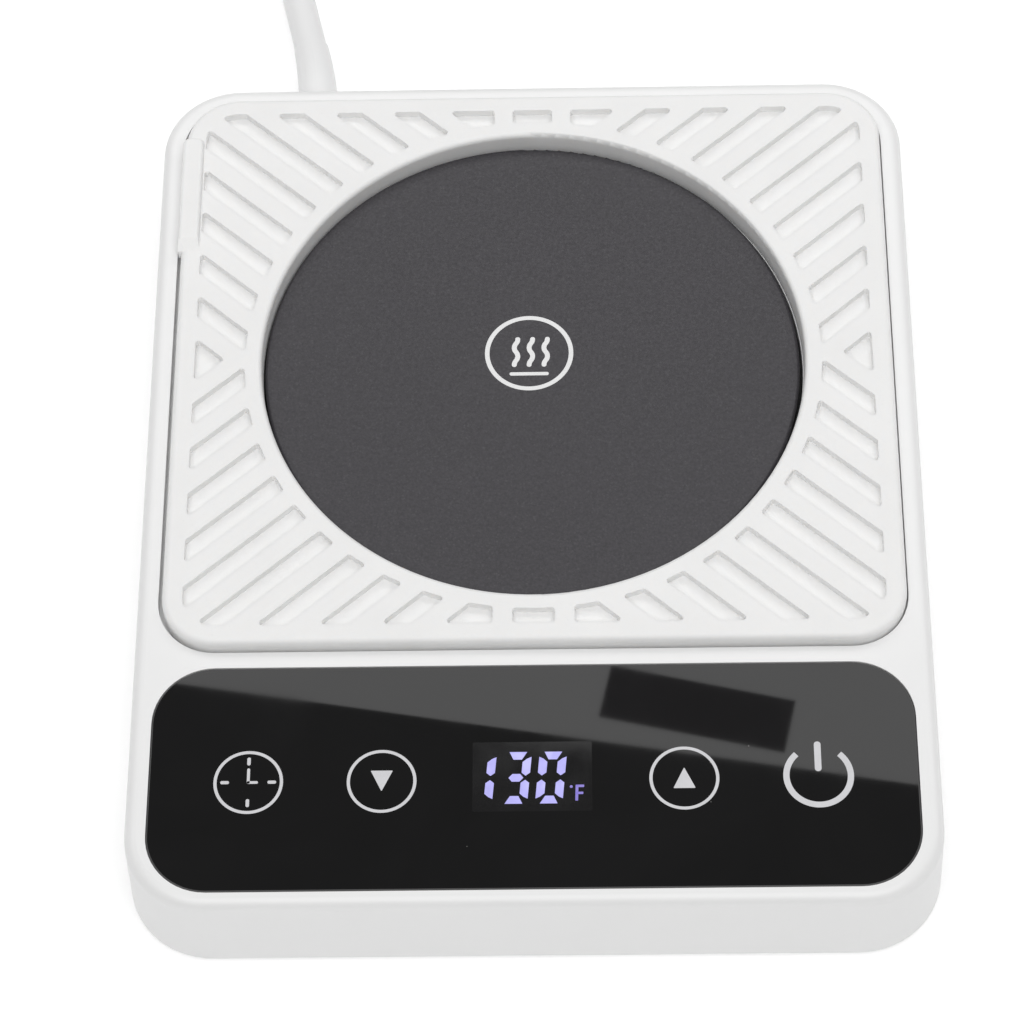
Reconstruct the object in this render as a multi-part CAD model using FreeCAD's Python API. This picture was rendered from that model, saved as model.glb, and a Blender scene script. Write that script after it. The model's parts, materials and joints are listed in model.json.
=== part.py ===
import FreeCAD, Part
import math
import os

# Electric mug warmer: a low rounded box with a round heating plate that sinks a little
# under a mug, a ribbed silicone mat round it, a black glass touch panel in front,
# and a mains lead that leaves the back. Millimetres. The table is z = 0, +Z is up,
# the panel is towards -Y, and the origin is under the middle of the housing.

V = FreeCAD.Vector
UP = V(0, 0, 1)
BACK = V(0, 1, 0)
RIGHT = V(1, 0, 0)

# Plate and the well round it, which set the size of the housing
plate_radius = 42.25
well_side_margin = plate_radius * 14.8 / 42.25
well_end_margin = plate_radius * 9.1 / 42.25
well_corner = plate_radius * 9.0 / 42.25
well_drop = 2.4
plate_hole_gap = 0.55

# Deck strips round the well and the panel
deck_rim_side = 3.225
deck_rim_rear = 3.475
deck_rim_front = 2.375
deck_strip = 2.6

# Housing
base_corner = 12.9
body_height = 16.8
side_draft = 2.3
shoulder_round = 1.9
side_wall = 2.2
foot_stand = 1.2
deck_ledge = 1.6
boss_radius = 3.5
boss_inset_side = 9.95
boss_inset_front = 9.75
boss_inset_rear = 8.75
pilot_radius = 1.25
pilot_depth = 8.5
pilot_end_gap = 1.0
thread_gap = 0.05
cut_over = 1.0

# Glass panel and the shelf that it is bonded to
panel_depth = 37.0
panel_corner = 9.3
panel_gap = 0.1
glass_thick = 1.6
glass_edge = 0.2
bond_thick = 0.2
bond_inset = 0.5
key_end_inset = 14.9
key_inner_share = 22.36 / 42.15
key_forward = 0.75
key_window_radius = 5.2
display_width = 17.6
display_depth = 11.5
display_gap = 0.2
window_margin = 0.5

# Silicone mat
mat_gap_side = 0.5
mat_gap_end = 0.3
mat_shift = 0.2
mat_stand = 2.2
mat_corner = plate_radius * 8.6 / 42.25
mat_hole_gap = 0.5
mat_outer_round = 1.2
mat_hole_round = 0.8
mat_rim = plate_radius * 3.2 / 42.25
mat_ring = plate_radius * 2.65 / 42.25
pocket_depth = 1.4
pocket_corner = plate_radius * 0.45 / 42.25
rim_inner_corner = plate_radius * 5.2 / 42.25
rib_angle = 41.0
rib_pitch = plate_radius * 6.21 / 42.25
rib_width = plate_radius * 3.06 / 42.25
rib_start = plate_radius * 0.67 / 42.25
rib_first = -5
rib_last = 4
short_rib_x = plate_radius * 4.7 / 42.25
short_rib_width = plate_radius * 3.0 / 42.25
tab_length = 19.9
tab_slope = 2.1
tab_rear_inset = 8.55
tab_width = 3.4
tab_over = 0.25
tab_rise = 0.9
tab_under = 0.2
tab_round = 0.7
tab_corner = 1.2

# Heating plate and what it is clamped to
plate_drop = 0.75
plate_thick = 1.4
plate_skirt_wall = 1.1
plate_edge_round = 0.5
lug_inset = 5.45
lug_radius = 2.8
lug_count = 4
lug_hole_depth = 1.7
stack_gap = 0.35
heater_thick = 0.5
pad_thick = 1.2
back_plate_thick = 0.45
heater_slit_x = 6.0
heater_slit_width = 1.0
terminal_x = 12.0
terminal_y = -12.0
terminal_width = 3.0
terminal_thick = 0.8
terminal_drop = 4.3
terminal_gap = 0.4

# Plate carrier, its guides and springs
carrier_overlap = 1.6
carrier_thick = 1.4
stop_gap = 0.3
plate_travel = 1.2
guide_inset = 12.25
guide_count = 4
post_radius = 2.0
post_gap = 0.3
post_end_gap = 0.5
sleeve_wall = 0.7
sleeve_height = 5.0
spring_wire = 0.7
spring_radius = 3.8
spring_turns = 5.0
cutoff_x = -14.0
cutoff_y = 3.0
cutoff_radius = 4.5
cutoff_height = 2.8
cutoff_edge = 0.5
sensor_x = 12.0
sensor_y = 9.0
sensor_radius = 1.6
sensor_height = 2.2
sensor_edge = 0.6
part_gap = 0.4

# Weight switch under the carrier
switch_x = 0.0
switch_forward = 17.25
switch_length = 12.8
switch_width = 5.8
switch_height = 6.5
switch_edge = 0.3
switch_lid = 1.2
switch_chamber = 2.8
plunger_radius = 1.2
plunger_gap = 0.3
plunger_edge = 0.3
collar_radius = 1.9
collar_height = 0.9
actuator_radius = 2.4
actuator_drop = 0.4
pocket_wall = 1.2
pocket_height = 3.6
pocket_gap = 0.15
tab_metal = 0.6
tab_metal_width = 2.8
tab_metal_reach = 3.5
tab_metal_spread = 4.0

# Bottom cover, feet and screws
cover_thick = 2.0
cover_inset = 0.3
cover_gap = 0.15
foot_radius = 5.5
foot_recess = 0.5
foot_gap = 0.2
foot_inset_side = 10.95
foot_inset_end = 21.75
foot_edge = 0.5
screw_head_radius = 2.8
screw_head_height = 1.1
screw_well_gap = 0.4
screw_edge_share = 0.35
recess_depth_share = 0.55
recess_length_share = 1.1
recess_width_share = 0.22
vent_length = 15.0
vent_width = 2.0
vent_pitch = 8.0
vent_count = 6
vent_inset = 6.25
vent_rear_x = 6.0
label_width = 42.0
label_depth = 24.0
label_drop = 0.3
label_corner = 2.0

# Boards
touch_board_inset_side = 11.05
touch_board_inset_end = 3.0
touch_board_thick = 1.2
touch_board_drop = 0.8
touch_screw_inset_side = 2.5
touch_screw_inset_end = 3.0
touch_screw_depth = 1.7
touch_screw_end_gap = 0.5
small_boss_radius = 2.4
small_screw_radius = 0.95
small_head_radius = 1.9
small_head_height = 1.2
key_spring_wire = 0.5
key_spring_radius = 3.6
key_spring_turns = 2.25
power_board_gap = 1.5
power_board_inset_end = 2.0
power_board_forward = 0.8
power_board_thick = 1.6
standoff_height = 1.2
standoff_inset = 3.0
link_length = 16.0
link_width = 2.6
link_end_inset = 20.0
link_inset = 5.0
block_width = 11.0
block_depth = 8.0
block_headroom = 0.7
block_end_inset = 12.0
block_inset = 5.5
fuse_radius = 1.8
fuse_length = 11.0
fuse_cap = 2.5
fuse_end_inset = 14.0
fuse_inset = 15.5
film_width = 15.0
film_depth = 10.0
film_headroom = 0.7
film_edge = 0.8
film_x = -8.0
film_inset = 9.5
can_headroom = 0.9
can_length = 9.0
can_groove = 0.3
can_groove_from_end = 1.6
can_end_inset = 16.0
can_inset = 12.5
triac_width = 10.0
triac_depth = 9.0
triac_height = 2.4
triac_edge = 0.4
triac_x = 4.0
triac_inset = 8.5
solder_gap = 0.1

# Mains lead: its way out of the housing, clamp and wires
cord_diameter = 5.5
exit_inset = 24.95
exit_z = 8.0
relief_root_radius = 3.45
relief_tip_radius = 2.95
relief_length = 16.0
relief_hole_gap = 0.2
relief_flange_radius = 4.2
relief_flange = 2.0
relief_stations = 6
exit_turn = (-0.205, 0.965, -0.165)
first_run = 13.0
inner_lead_stub = 9.0
clamp_inset = 15.75
clamp_reach = 7.6
clamp_post_radius = 2.6
clamp_width = 6.5
clamp_height = 2.5
clamp_bite = 1.3
clamp_groove_gap = 0.05
wire_radius = 0.9
wire_spread = 1.3
wire_rise = 2.4
wire_shift = 3.0
wire_end_inset = 3.0
thin_wire_radius = 0.55
heater_wire_radius = 0.7
heater_wire_run = 9.0
heater_wire_drop = 1.0
switch_wire_first_run = 8.0
switch_wire_second_run = 10.0
switch_wire_last_run = 8.0
switch_wire_rise = 1.3
mains_wire_first_run = 5.0
mains_wire_bend_run = 17.0
mains_wire_front_run = 27.0
mains_wire_last_run = 7.0
mains_wire_drop = 1.5
mains_wire_front_drop = 2.5
mains_wire_inset = 10.95

# Free cord, coil, tie and plug
coil_stand_off = 75.75
coil_entry_shift = 8.4
bend_stand_off = 41.75
bend_shift = 7.2
lying_stand_off = 56.25
coil_pitch = 6.1
coil_layer_step = 5.95
coil_turns = 5.25
coil_outer_radius = 40.0
coil_lift = 0.62
bend_lift = 0.25
tail_length = 24.5
tie_angle = 135.0
tie_thick = 0.5
tie_width = 7.0
tie_gap = 0.45
tie_corner = 2.6
tie_floor_gap = 0.02
plug_width = 25.0
plug_length = 26.0
plug_corner = 5.0
plug_edge = 1.6
plug_neck_length = 12.0
plug_neck_root = 5.0
plug_neck_tip = 3.6
blade_spacing = 12.7
blade_thick = 1.5
blade_width = 6.3
blade_width_wide = 7.9
blade_length = 17.0
blade_hole_radius = 1.5
blade_hole_from_tip = 3.2
blade_edge = 0.45

# Outlines worked out from the sizes above
flare = body_height * math.tan(math.radians(side_draft))
well_width = 2 * (plate_radius + well_side_margin)
well_depth = 2 * (plate_radius + well_end_margin)
base_width = well_width + 2 * (deck_rim_side + flare)
base_depth = deck_rim_front + panel_depth + deck_strip + well_depth + deck_rim_rear + 2 * flare
deck_front = flare - base_depth / 2
panel_width = well_width
panel_y = deck_front + deck_rim_front + panel_depth / 2
plate_y = base_depth / 2 - flare - deck_rim_rear - well_depth / 2
key_y = panel_y - key_forward
key_outer_x = panel_width / 2 - key_end_inset
key_inner_x = key_outer_x * key_inner_share
key_x = (-key_outer_x, -key_inner_x, key_inner_x, key_outer_x)
tab_rear_y = well_depth / 2 - tab_rear_inset
lug_ring = plate_radius - lug_inset
guide_ring = plate_radius - guide_inset
switch_y = plate_y - switch_forward
boss_x = base_width / 2 - boss_inset_side
boss_front_y = boss_inset_front - base_depth / 2
boss_rear_y = base_depth / 2 - boss_inset_rear
foot_x = base_width / 2 - foot_inset_side
foot_y = base_depth / 2 - foot_inset_end
vent_offset = plate_radius - vent_inset
touch_board_width = panel_width - 2 * touch_board_inset_side
touch_board_depth = panel_depth - 2 * touch_board_inset_end
touch_screw_x = touch_board_width / 2 - touch_screw_inset_side
touch_screw_y = touch_board_depth / 2 - touch_screw_inset_end
power_board_width = 2 * (boss_x - boss_radius - power_board_gap)
power_board_depth = panel_depth - 2 * power_board_inset_end
power_board_y = panel_y - power_board_forward
board_rear_y = power_board_y + power_board_depth / 2
board_front_y = power_board_y - power_board_depth / 2
standoff_x = power_board_width / 2 - standoff_inset
standoff_y = power_board_depth / 2 - standoff_inset
link_x = power_board_width / 2 - link_end_inset
block_x = block_end_inset - power_board_width / 2
fuse_x = fuse_end_inset - power_board_width / 2
can_x = power_board_width / 2 - can_end_inset
link_y = board_rear_y - link_inset
block_y = board_rear_y - block_inset
fuse_y = board_rear_y - fuse_inset
film_y = board_rear_y - film_inset
can_y = board_front_y + can_inset
triac_y = board_front_y + triac_inset
exit_x = exit_inset - base_width / 2
clamp_y = base_depth / 2 - clamp_inset
coil_centre_y = base_depth / 2 + coil_stand_off
coil_entry_x = exit_x - coil_entry_shift
inner_lead_end_y = clamp_y - inner_lead_stub

# Heights worked out from the sizes above
deck_z = foot_stand + body_height
well_z = deck_z - well_drop
ceiling_z = well_z - deck_ledge
shelf_z = deck_z - glass_thick - bond_thick
mat_top_z = deck_z + mat_stand
plate_top_z = deck_z - plate_drop
plate_under_z = plate_top_z - plate_thick
heater_under_z = plate_under_z - heater_thick
pad_under_z = heater_under_z - pad_thick
stack_under_z = pad_under_z - back_plate_thick
carrier_top_z = stack_under_z
carrier_under_z = carrier_top_z - carrier_thick
cover_under_z = foot_stand + cover_inset
cover_top_z = cover_under_z + cover_thick
touch_board_top_z = ceiling_z - touch_board_drop
touch_board_under_z = touch_board_top_z - touch_board_thick
power_board_under_z = cover_top_z + standoff_height
power_board_top_z = power_board_under_z + power_board_thick
component_room = touch_board_under_z - power_board_top_z
block_height = component_room - block_headroom
film_height = component_room - film_headroom
can_radius = (component_room - can_headroom) / 2
cord_radius = cord_diameter / 2
screw_hole_radius = small_screw_radius + part_gap / 2


def inset_at(z):
    """How far the housing's drafted side has come in, at height z, from its base."""
    return (z - foot_stand) * flare / body_height


def moved(shape, x, y, z):
    """A copy of a shape, shifted."""
    copy = shape.copy()
    copy.translate(V(x, y, z))
    return copy


def fused(shapes):
    """One solid made of several that touch or overlap."""
    whole = shapes[0].fuse(shapes[1:]) if len(shapes) > 1 else shapes[0]
    return whole.removeSplitter()


def rounded_rect(width, depth, corner, x, y, z):
    """A closed wire: a rectangle with round corners, level at height z."""
    half_w = width / 2
    half_d = depth / 2
    turn = corner * (1 - math.sqrt(0.5))
    edges = []
    for sx, sy in ((1, 1), (-1, 1), (-1, -1), (1, -1)):
        on_side = V(x + sx * half_w, y + sy * (half_d - corner), z)
        on_end = V(x + sx * (half_w - corner), y + sy * half_d, z)
        middle = V(x + sx * (half_w - turn), y + sy * (half_d - turn), z)
        start, end = (on_side, on_end) if sx * sy > 0 else (on_end, on_side)
        if edges:
            edges.append(Part.LineSegment(edges[-1].Vertexes[-1].Point, start).toShape())
        edges.append(Part.Arc(start, middle, end).toShape())
    edges.append(Part.LineSegment(edges[-1].Vertexes[-1].Point, edges[0].Vertexes[0].Point).toShape())
    return Part.Wire(Part.__sortEdges__(edges))


def slab(width, depth, corner, x, y, low, high):
    """A level plate with round corners."""
    return Part.Face(rounded_rect(width, depth, corner, x, y, low)).extrude(V(0, 0, high - low))


def block(width, depth, x, y, low, high):
    """A level box, centred on x and y."""
    return Part.makeBox(width, depth, high - low, V(x - width / 2, y - depth / 2, low))


def disc(radius, x, y, low, high):
    """An upright cylinder."""
    return Part.makeCylinder(radius, high - low, V(x, y, low), UP)


def housing_block(low, high, wall):
    """The drafted outline of the housing between two heights, drawn in by a wall."""
    outlines = []
    for z in (low, high):
        inset = inset_at(z) + wall
        outlines.append(
            rounded_rect(base_width - 2 * inset, base_depth - 2 * inset, base_corner - inset, 0, 0, z)
        )
    return Part.makeLoft(outlines, True, True)


def level_edges(shape, z):
    """The edges that lie level at height z."""
    found = []
    for edge in shape.Edges:
        box = edge.BoundBox
        if abs(box.ZMin - z) < 1e-4 and abs(box.ZMax - z) < 1e-4:
            found.append(edge)
    return found


def upright_edges(shape):
    """The straight edges that stand upright."""
    return [e for e in shape.Edges if e.BoundBox.XLength < 1e-4 and e.BoundBox.YLength < 1e-4]


def on_ring(radius, count, start):
    """Places spaced evenly on a ring about the plate's axis."""
    places = []
    for i in range(count):
        angle = math.radians(start + 360 * i / count)
        places.append((radius * math.cos(angle), plate_y + radius * math.sin(angle)))
    return places


def arc_through(start, corner, end):
    """The arc that leaves start towards corner and reaches end from it, or a line."""
    middle = (start + end) * 0.5
    rise = corner - middle
    reach = (end - start).Length / 2
    if rise.Length < 1e-4 * reach:
        return Part.LineSegment(start, end).toShape()
    side = (corner - start).Length
    radius = side * reach / rise.Length
    height = radius * (1 - reach / side)
    top = middle + rise * (height / rise.Length)
    return Part.Arc(start, top, end).toShape()


def biarc(p, t, q, s):
    """Two arcs from p, heading along t, to q, heading along s."""
    gap = q - p
    both = t + s
    bend = 2 * (1 - t.dot(s))
    along = gap.dot(both)
    if bend < 1e-9:
        side = gap.dot(gap) / (2 * along)
    else:
        side = (-along + math.sqrt(along * along + bend * gap.dot(gap))) / bend
    first = p + t * side
    last = q - s * side
    joint = (first + last) * 0.5
    return [arc_through(p, first, joint), arc_through(joint, last, q)]


def tube(edges, radius, start, heading):
    """A round tube along a smooth chain of edges."""
    path = Part.Wire(edges)
    section = Part.Wire([Part.Circle(start, heading, radius).toShape()])
    shell = Part.BRepOffsetAPI.MakePipeShell(path)
    shell.add(section)
    shell.build()
    shell.makeSolid()
    return Part.Solid(shell.shape())


def routed_edges(points):
    """Straight runs joined by tangent arcs through a route's corners, and the arcs' radii."""
    edges = []
    radii = []
    last = points[0]
    for i in range(1, len(points) - 1):
        before = points[i] - points[i - 1]
        after = points[i + 1] - points[i]
        cut = 0.45 * min(before.Length, after.Length)
        half_turn = before.getAngle(after) / 2
        radii.append(cut / math.tan(half_turn))
        start = points[i] - before * (cut / before.Length)
        end = points[i] + after * (cut / after.Length)
        edges.append(Part.LineSegment(last, start).toShape())
        edges.append(arc_through(start, points[i], end))
        last = end
    edges.append(Part.LineSegment(last, points[-1]).toShape())
    return edges, radii


def routed_tube(points, radius):
    """A tube along a route, with its arcs' radii and its length."""
    edges, radii = routed_edges(points)
    body = tube(edges, radius, points[0], points[1] - points[0])
    return body, radii, sum(e.Length for e in edges)


def helix_edges(centre, radius, low, high, turns):
    """The arcs of an upright helix, two to each quarter turn."""
    steps = round(turns * 4)
    climb = (high - low) / (2 * math.pi * turns)
    knots = []
    for i in range(steps + 1):
        angle = math.pi / 2 * i
        point = centre + V(radius * math.cos(angle), radius * math.sin(angle), low + (high - low) * i / steps)
        heading = V(-radius * math.sin(angle), radius * math.cos(angle), climb)
        knots.append((point, heading.normalize()))
    edges = []
    for (p, t), (q, s) in zip(knots, knots[1:]):
        edges += biarc(p, t, q, s)
    return edges, knots


def coil_spring(x, y, low, high, radius, wire, turns):
    """A round-wire spring whose ends are ground level with what they press on."""
    edges, knots = helix_edges(V(x, y, 0), radius, low + wire / 2, high - wire / 2, turns)
    return tube(edges, wire / 2, knots[0][0], knots[0][1])


def least_gap(points, diameter, skip):
    """The least gap between turns of a tube, measured on points along its centre line."""
    least = 1e9
    for i in range(len(points)):
        for j in range(i + skip, len(points)):
            least = min(least, (points[i] - points[j]).Length)
    return least - diameter


def spaced_points(edges, step):
    """Points along a chain of edges, about one step apart."""
    points = []
    for edge in edges:
        points += edge.discretize(max(2, math.ceil(edge.Length / step)))[:-1]
    points.append(edges[-1].Vertexes[-1].Point)
    return points


def cross_screw(x, y, seat, head_radius, head_height, shank_radius, length, upward):
    """A pan-head screw with a cross recess: its head's flat lies at seat."""
    sign = 1 if upward else -1
    head_low = min(seat, seat - sign * head_height)
    head = disc(head_radius, x, y, head_low, head_low + head_height)
    outer_z = seat - sign * head_height
    head = head.makeFillet(head_height * screw_edge_share, level_edges(head, outer_z))
    shank_low = min(seat, seat + sign * length)
    shank = disc(shank_radius, x, y, shank_low, shank_low + length)
    depth = head_height * recess_depth_share
    recess_low = min(outer_z, outer_z + sign * depth)
    slot = head_radius * recess_length_share
    slot_width = slot * recess_width_share
    recess = block(slot, slot_width, x, y, recess_low, recess_low + depth)
    recess = recess.fuse(block(slot_width, slot, x, y, recess_low, recess_low + depth))
    return fused([head, shank]).cut(recess)


# Outside casing

def top_housing():
    """The white shell: drafted walls, mat well, panel shelf and screw bosses."""
    body = housing_block(foot_stand, deck_z, 0)
    body = body.makeFillet(shoulder_round, level_edges(body, deck_z))
    body = body.cut(housing_block(foot_stand, ceiling_z, side_wall))
    cuts = [
        slab(well_width, well_depth, well_corner, 0, plate_y, well_z, deck_z + cut_over),
        slab(panel_width, panel_depth, panel_corner, 0, panel_y, shelf_z, deck_z + cut_over),
        disc(plate_radius + plate_hole_gap, 0, plate_y, ceiling_z - cut_over, well_z + cut_over),
        block(
            display_width + 2 * window_margin,
            display_depth + 2 * window_margin,
            0,
            key_y,
            ceiling_z - cut_over,
            shelf_z + cut_over,
        ),
    ]
    cuts += [disc(key_window_radius, x, key_y, ceiling_z - cut_over, shelf_z + cut_over) for x in key_x]
    body = body.cut(cuts)
    bosses = [disc(boss_radius, x, y, cover_top_z, ceiling_z) for x, y in boss_places()]
    bosses += [disc(small_boss_radius, x, y, touch_board_top_z, ceiling_z) for x, y in touch_screw_places()]
    body = fused([body] + bosses)
    holes = [disc(pilot_radius, x, y, cover_top_z, cover_top_z + pilot_depth) for x, y in boss_places()]
    holes += [
        disc(small_screw_radius + thread_gap, x, y, touch_board_top_z, ceiling_z + touch_screw_depth)
        for x, y in touch_screw_places()
    ]
    holes.append(
        Part.makeCylinder(
            relief_root_radius + relief_hole_gap,
            3 * side_wall,
            V(exit_x, base_depth / 2 - 2 * side_wall, exit_z),
            BACK,
        )
    )
    return body.cut(holes)


def boss_places():
    """Where the four cover screws go."""
    return [(sx * boss_x, y) for sx in (-1, 1) for y in (boss_front_y, boss_rear_y)]


def touch_screw_places():
    """Where the touch board's screws go."""
    return [(sx * touch_screw_x, panel_y + sy * touch_screw_y) for sx in (-1, 1) for sy in (-1, 1)]


def standoff_places():
    """Where the power board's screws go."""
    return [(sx * standoff_x, power_board_y + sy * standoff_y) for sx in (-1, 1) for sy in (-1, 1)]


def clamp_places():
    """Where the lead clamp's screws go."""
    return [(exit_x - clamp_reach, clamp_y), (exit_x + clamp_reach, clamp_y)]


def bottom_cover():
    """The floor of the housing, with standoffs, guide sleeves, switch pocket and vents."""
    outline_inset = inset_at(cover_top_z) + side_wall + cover_gap
    cover = slab(
        base_width - 2 * outline_inset,
        base_depth - 2 * outline_inset,
        base_corner - outline_inset,
        0,
        0,
        cover_under_z,
        cover_top_z,
    )
    sleeve_outer = post_radius + post_gap + sleeve_wall
    adds = [
        disc(sleeve_outer, x, y, cover_top_z, cover_top_z + sleeve_height)
        for x, y in on_ring(guide_ring, guide_count, 45)
    ]
    adds += [disc(small_boss_radius, x, y, cover_top_z, power_board_under_z) for x, y in standoff_places()]
    post_top = exit_z + clamp_bite
    adds += [disc(clamp_post_radius, x, y, cover_top_z, post_top) for x, y in clamp_places()]
    saddle = block(2 * clamp_reach, clamp_width, exit_x, clamp_y, cover_top_z, exit_z)
    adds.append(saddle)
    nest = block(
        switch_length + 2 * (pocket_gap + pocket_wall),
        switch_width + 2 * (pocket_gap + pocket_wall),
        switch_x,
        switch_y,
        cover_top_z,
        cover_top_z + pocket_height,
    )
    adds.append(nest)
    cover = fused([cover] + adds)
    cuts = [
        disc(post_radius + post_gap, x, y, cover_top_z, cover_top_z + sleeve_height + cut_over)
        for x, y in on_ring(guide_ring, guide_count, 45)
    ]
    cuts.append(
        block(
            switch_length + 2 * pocket_gap,
            switch_width + 2 * pocket_gap,
            switch_x,
            switch_y,
            cover_top_z,
            cover_top_z + pocket_height + cut_over,
        )
    )
    cuts.append(
        block(
            tab_metal_spread + tab_metal_width + 2 * part_gap,
            switch_width,
            switch_x,
            switch_y - switch_width / 2,
            cover_top_z,
            cover_top_z + pocket_height + cut_over,
        )
    )
    cuts.append(
        Part.makeCylinder(
            cord_radius + clamp_groove_gap,
            2 * clamp_width,
            V(exit_x, clamp_y - clamp_width, exit_z),
            BACK,
        )
    )
    for x, y in clamp_places():
        cuts.append(disc(small_screw_radius + thread_gap, x, y, cover_top_z, post_top + cut_over))
    low = cover_under_z - cut_over
    for x, y in standoff_places():
        cuts.append(disc(small_screw_radius + thread_gap, x, y, low, power_board_under_z + cut_over))
    for x, y in boss_places():
        head_room = screw_head_radius + screw_well_gap
        cuts.append(disc(head_room, x, y, low, cover_under_z + screw_head_height + thread_gap))
        cuts.append(disc(pilot_radius + screw_well_gap, x, y, low, cover_top_z + cut_over))
    for sx in (-1, 1):
        for sy in (-1, 1):
            cuts.append(
                disc(
                    foot_radius + foot_gap,
                    sx * foot_x,
                    sy * foot_y,
                    low,
                    cover_under_z + foot_recess,
                )
            )
    for row_y, row_x in ((plate_y + vent_offset, vent_rear_x), (plate_y - vent_offset, 0)):
        for i in range(vent_count):
            x = row_x + (i - (vent_count - 1) / 2) * vent_pitch
            cuts.append(
                slab(
                    vent_width,
                    vent_length,
                    vent_width / 2 - thread_gap,
                    x,
                    row_y,
                    low,
                    cover_top_z + cut_over,
                )
            )
    cuts.append(
        slab(
            label_width,
            label_depth,
            label_corner,
            0,
            power_board_y,
            cover_under_z - cut_over,
            cover_under_z + label_drop,
        )
    )
    return cover.cut(cuts)


def rubber_feet():
    """Four round pads let into the cover."""
    feet = []
    for sx in (-1, 1):
        for sy in (-1, 1):
            foot = disc(foot_radius, sx * foot_x, sy * foot_y, 0, cover_under_z + foot_recess)
            feet.append(foot.makeFillet(foot_edge, level_edges(foot, 0)))
    return feet


def cover_screws():
    """Self-tapping screws that hold the cover to the housing."""
    seat = cover_under_z + screw_head_height + thread_gap
    length = cover_top_z + pilot_depth - pilot_end_gap - seat
    return [
        cross_screw(
            x, y, seat, screw_head_radius, screw_head_height, pilot_radius - thread_gap, length, True
        )
        for x, y in boss_places()
    ]


# Glass panel and the board behind it

def glass_panel():
    """The black glass, flush with the deck."""
    glass = slab(
        panel_width - 2 * panel_gap,
        panel_depth - 2 * panel_gap,
        panel_corner - panel_gap,
        0,
        panel_y,
        deck_z - glass_thick,
        deck_z,
    )
    return glass.makeChamfer(glass_edge, level_edges(glass, deck_z))


def panel_bond():
    """The adhesive sheet under the glass, open at the keys and the display."""
    sheet = slab(
        panel_width - 2 * (panel_gap + bond_inset),
        panel_depth - 2 * (panel_gap + bond_inset),
        panel_corner - panel_gap - bond_inset,
        0,
        panel_y,
        shelf_z,
        shelf_z + bond_thick,
    )
    cuts = [disc(key_window_radius, x, key_y, shelf_z - cut_over, shelf_z + cut_over) for x in key_x]
    cuts.append(
        block(
            display_width + 2 * window_margin,
            display_depth + 2 * window_margin,
            0,
            key_y,
            shelf_z - cut_over,
            shelf_z + cut_over,
        )
    )
    return sheet.cut(cuts)


def touch_board():
    """The board with the keys' springs and the display."""
    board = block(
        touch_board_width, touch_board_depth, 0, panel_y, touch_board_under_z, touch_board_top_z
    )
    low = touch_board_under_z - cut_over
    high = touch_board_top_z + cut_over
    return board.cut([disc(screw_hole_radius, x, y, low, high) for x, y in touch_screw_places()])


def touch_board_screws():
    """Screws that hold the touch board up to the housing."""
    length = ceiling_z + touch_screw_depth - touch_screw_end_gap - touch_board_under_z
    return [
        cross_screw(
            x,
            y,
            touch_board_under_z,
            small_head_radius,
            small_head_height,
            small_screw_radius,
            length,
            True,
        )
        for x, y in touch_screw_places()
    ]


def display_module():
    """The digit display, just under the glass."""
    top = deck_z - glass_thick - display_gap
    return block(display_width, display_depth, 0, key_y, touch_board_top_z, top)


def key_springs():
    """One contact spring under each key, from the board to the glass."""
    glass_under = deck_z - glass_thick
    return [
        coil_spring(
            x, key_y, touch_board_top_z, glass_under, key_spring_radius, key_spring_wire, key_spring_turns
        )
        for x in key_x
    ]


# Power board and what it carries

def power_board():
    """The mains board on its standoffs."""
    board = block(
        power_board_width,
        power_board_depth,
        0,
        power_board_y,
        power_board_under_z,
        power_board_top_z,
    )
    low = power_board_under_z - cut_over
    high = power_board_top_z + cut_over
    return board.cut([disc(screw_hole_radius, x, y, low, high) for x, y in standoff_places()])


def power_board_screws():
    """Screws that hold the power board to its standoffs."""
    length = power_board_top_z - cover_top_z - thread_gap
    return [
        cross_screw(
            x,
            y,
            power_board_top_z,
            small_head_radius,
            small_head_height,
            small_screw_radius,
            length,
            False,
        )
        for x, y in standoff_places()
    ]


def board_link():
    """The pin strip between the two boards."""
    return block(link_length, link_width, link_x, link_y, power_board_top_z, touch_board_under_z)


def terminal_block():
    """Where the mains wires are held on the board."""
    body = block(
        block_width, block_depth, block_x, block_y, power_board_top_z, power_board_top_z + block_height
    )
    mouth_z = power_board_top_z + block_height / 2
    mouths = []
    for sx in (-1, 1):
        mouths.append(
            Part.makeCylinder(
                wire_radius + part_gap / 2,
                block_depth / 2,
                V(block_x + sx * 2 * wire_spread, block_y + block_depth / 2, mouth_z),
                -BACK,
            )
        )
    return body.cut(mouths)


def fuse():
    """A glass fuse with its two end caps, lying on the board."""
    z = power_board_top_z + fuse_radius + solder_gap
    start = V(fuse_x - fuse_length / 2, fuse_y, z)
    clear = fuse_length - 2 * fuse_cap
    glass = Part.makeCylinder(fuse_radius - solder_gap, clear, start + RIGHT * fuse_cap, RIGHT)
    caps = [
        Part.makeCylinder(fuse_radius, fuse_cap, start, RIGHT),
        Part.makeCylinder(fuse_radius, fuse_cap, start + V(fuse_length - fuse_cap, 0, 0), RIGHT),
    ]
    feet = [
        block(fuse_cap / 2, fuse_radius, start.x + fuse_cap / 2, fuse_y, power_board_top_z, z),
        block(fuse_cap / 2, fuse_radius, start.x + fuse_length - fuse_cap / 2, fuse_y, power_board_top_z, z),
    ]
    return fused([glass] + caps + feet)


def film_capacitor():
    """A flat boxed capacitor."""
    body = block(
        film_width, film_depth, film_x, film_y, power_board_top_z, power_board_top_z + film_height
    )
    return body.makeFillet(film_edge, upright_edges(body))


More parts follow.
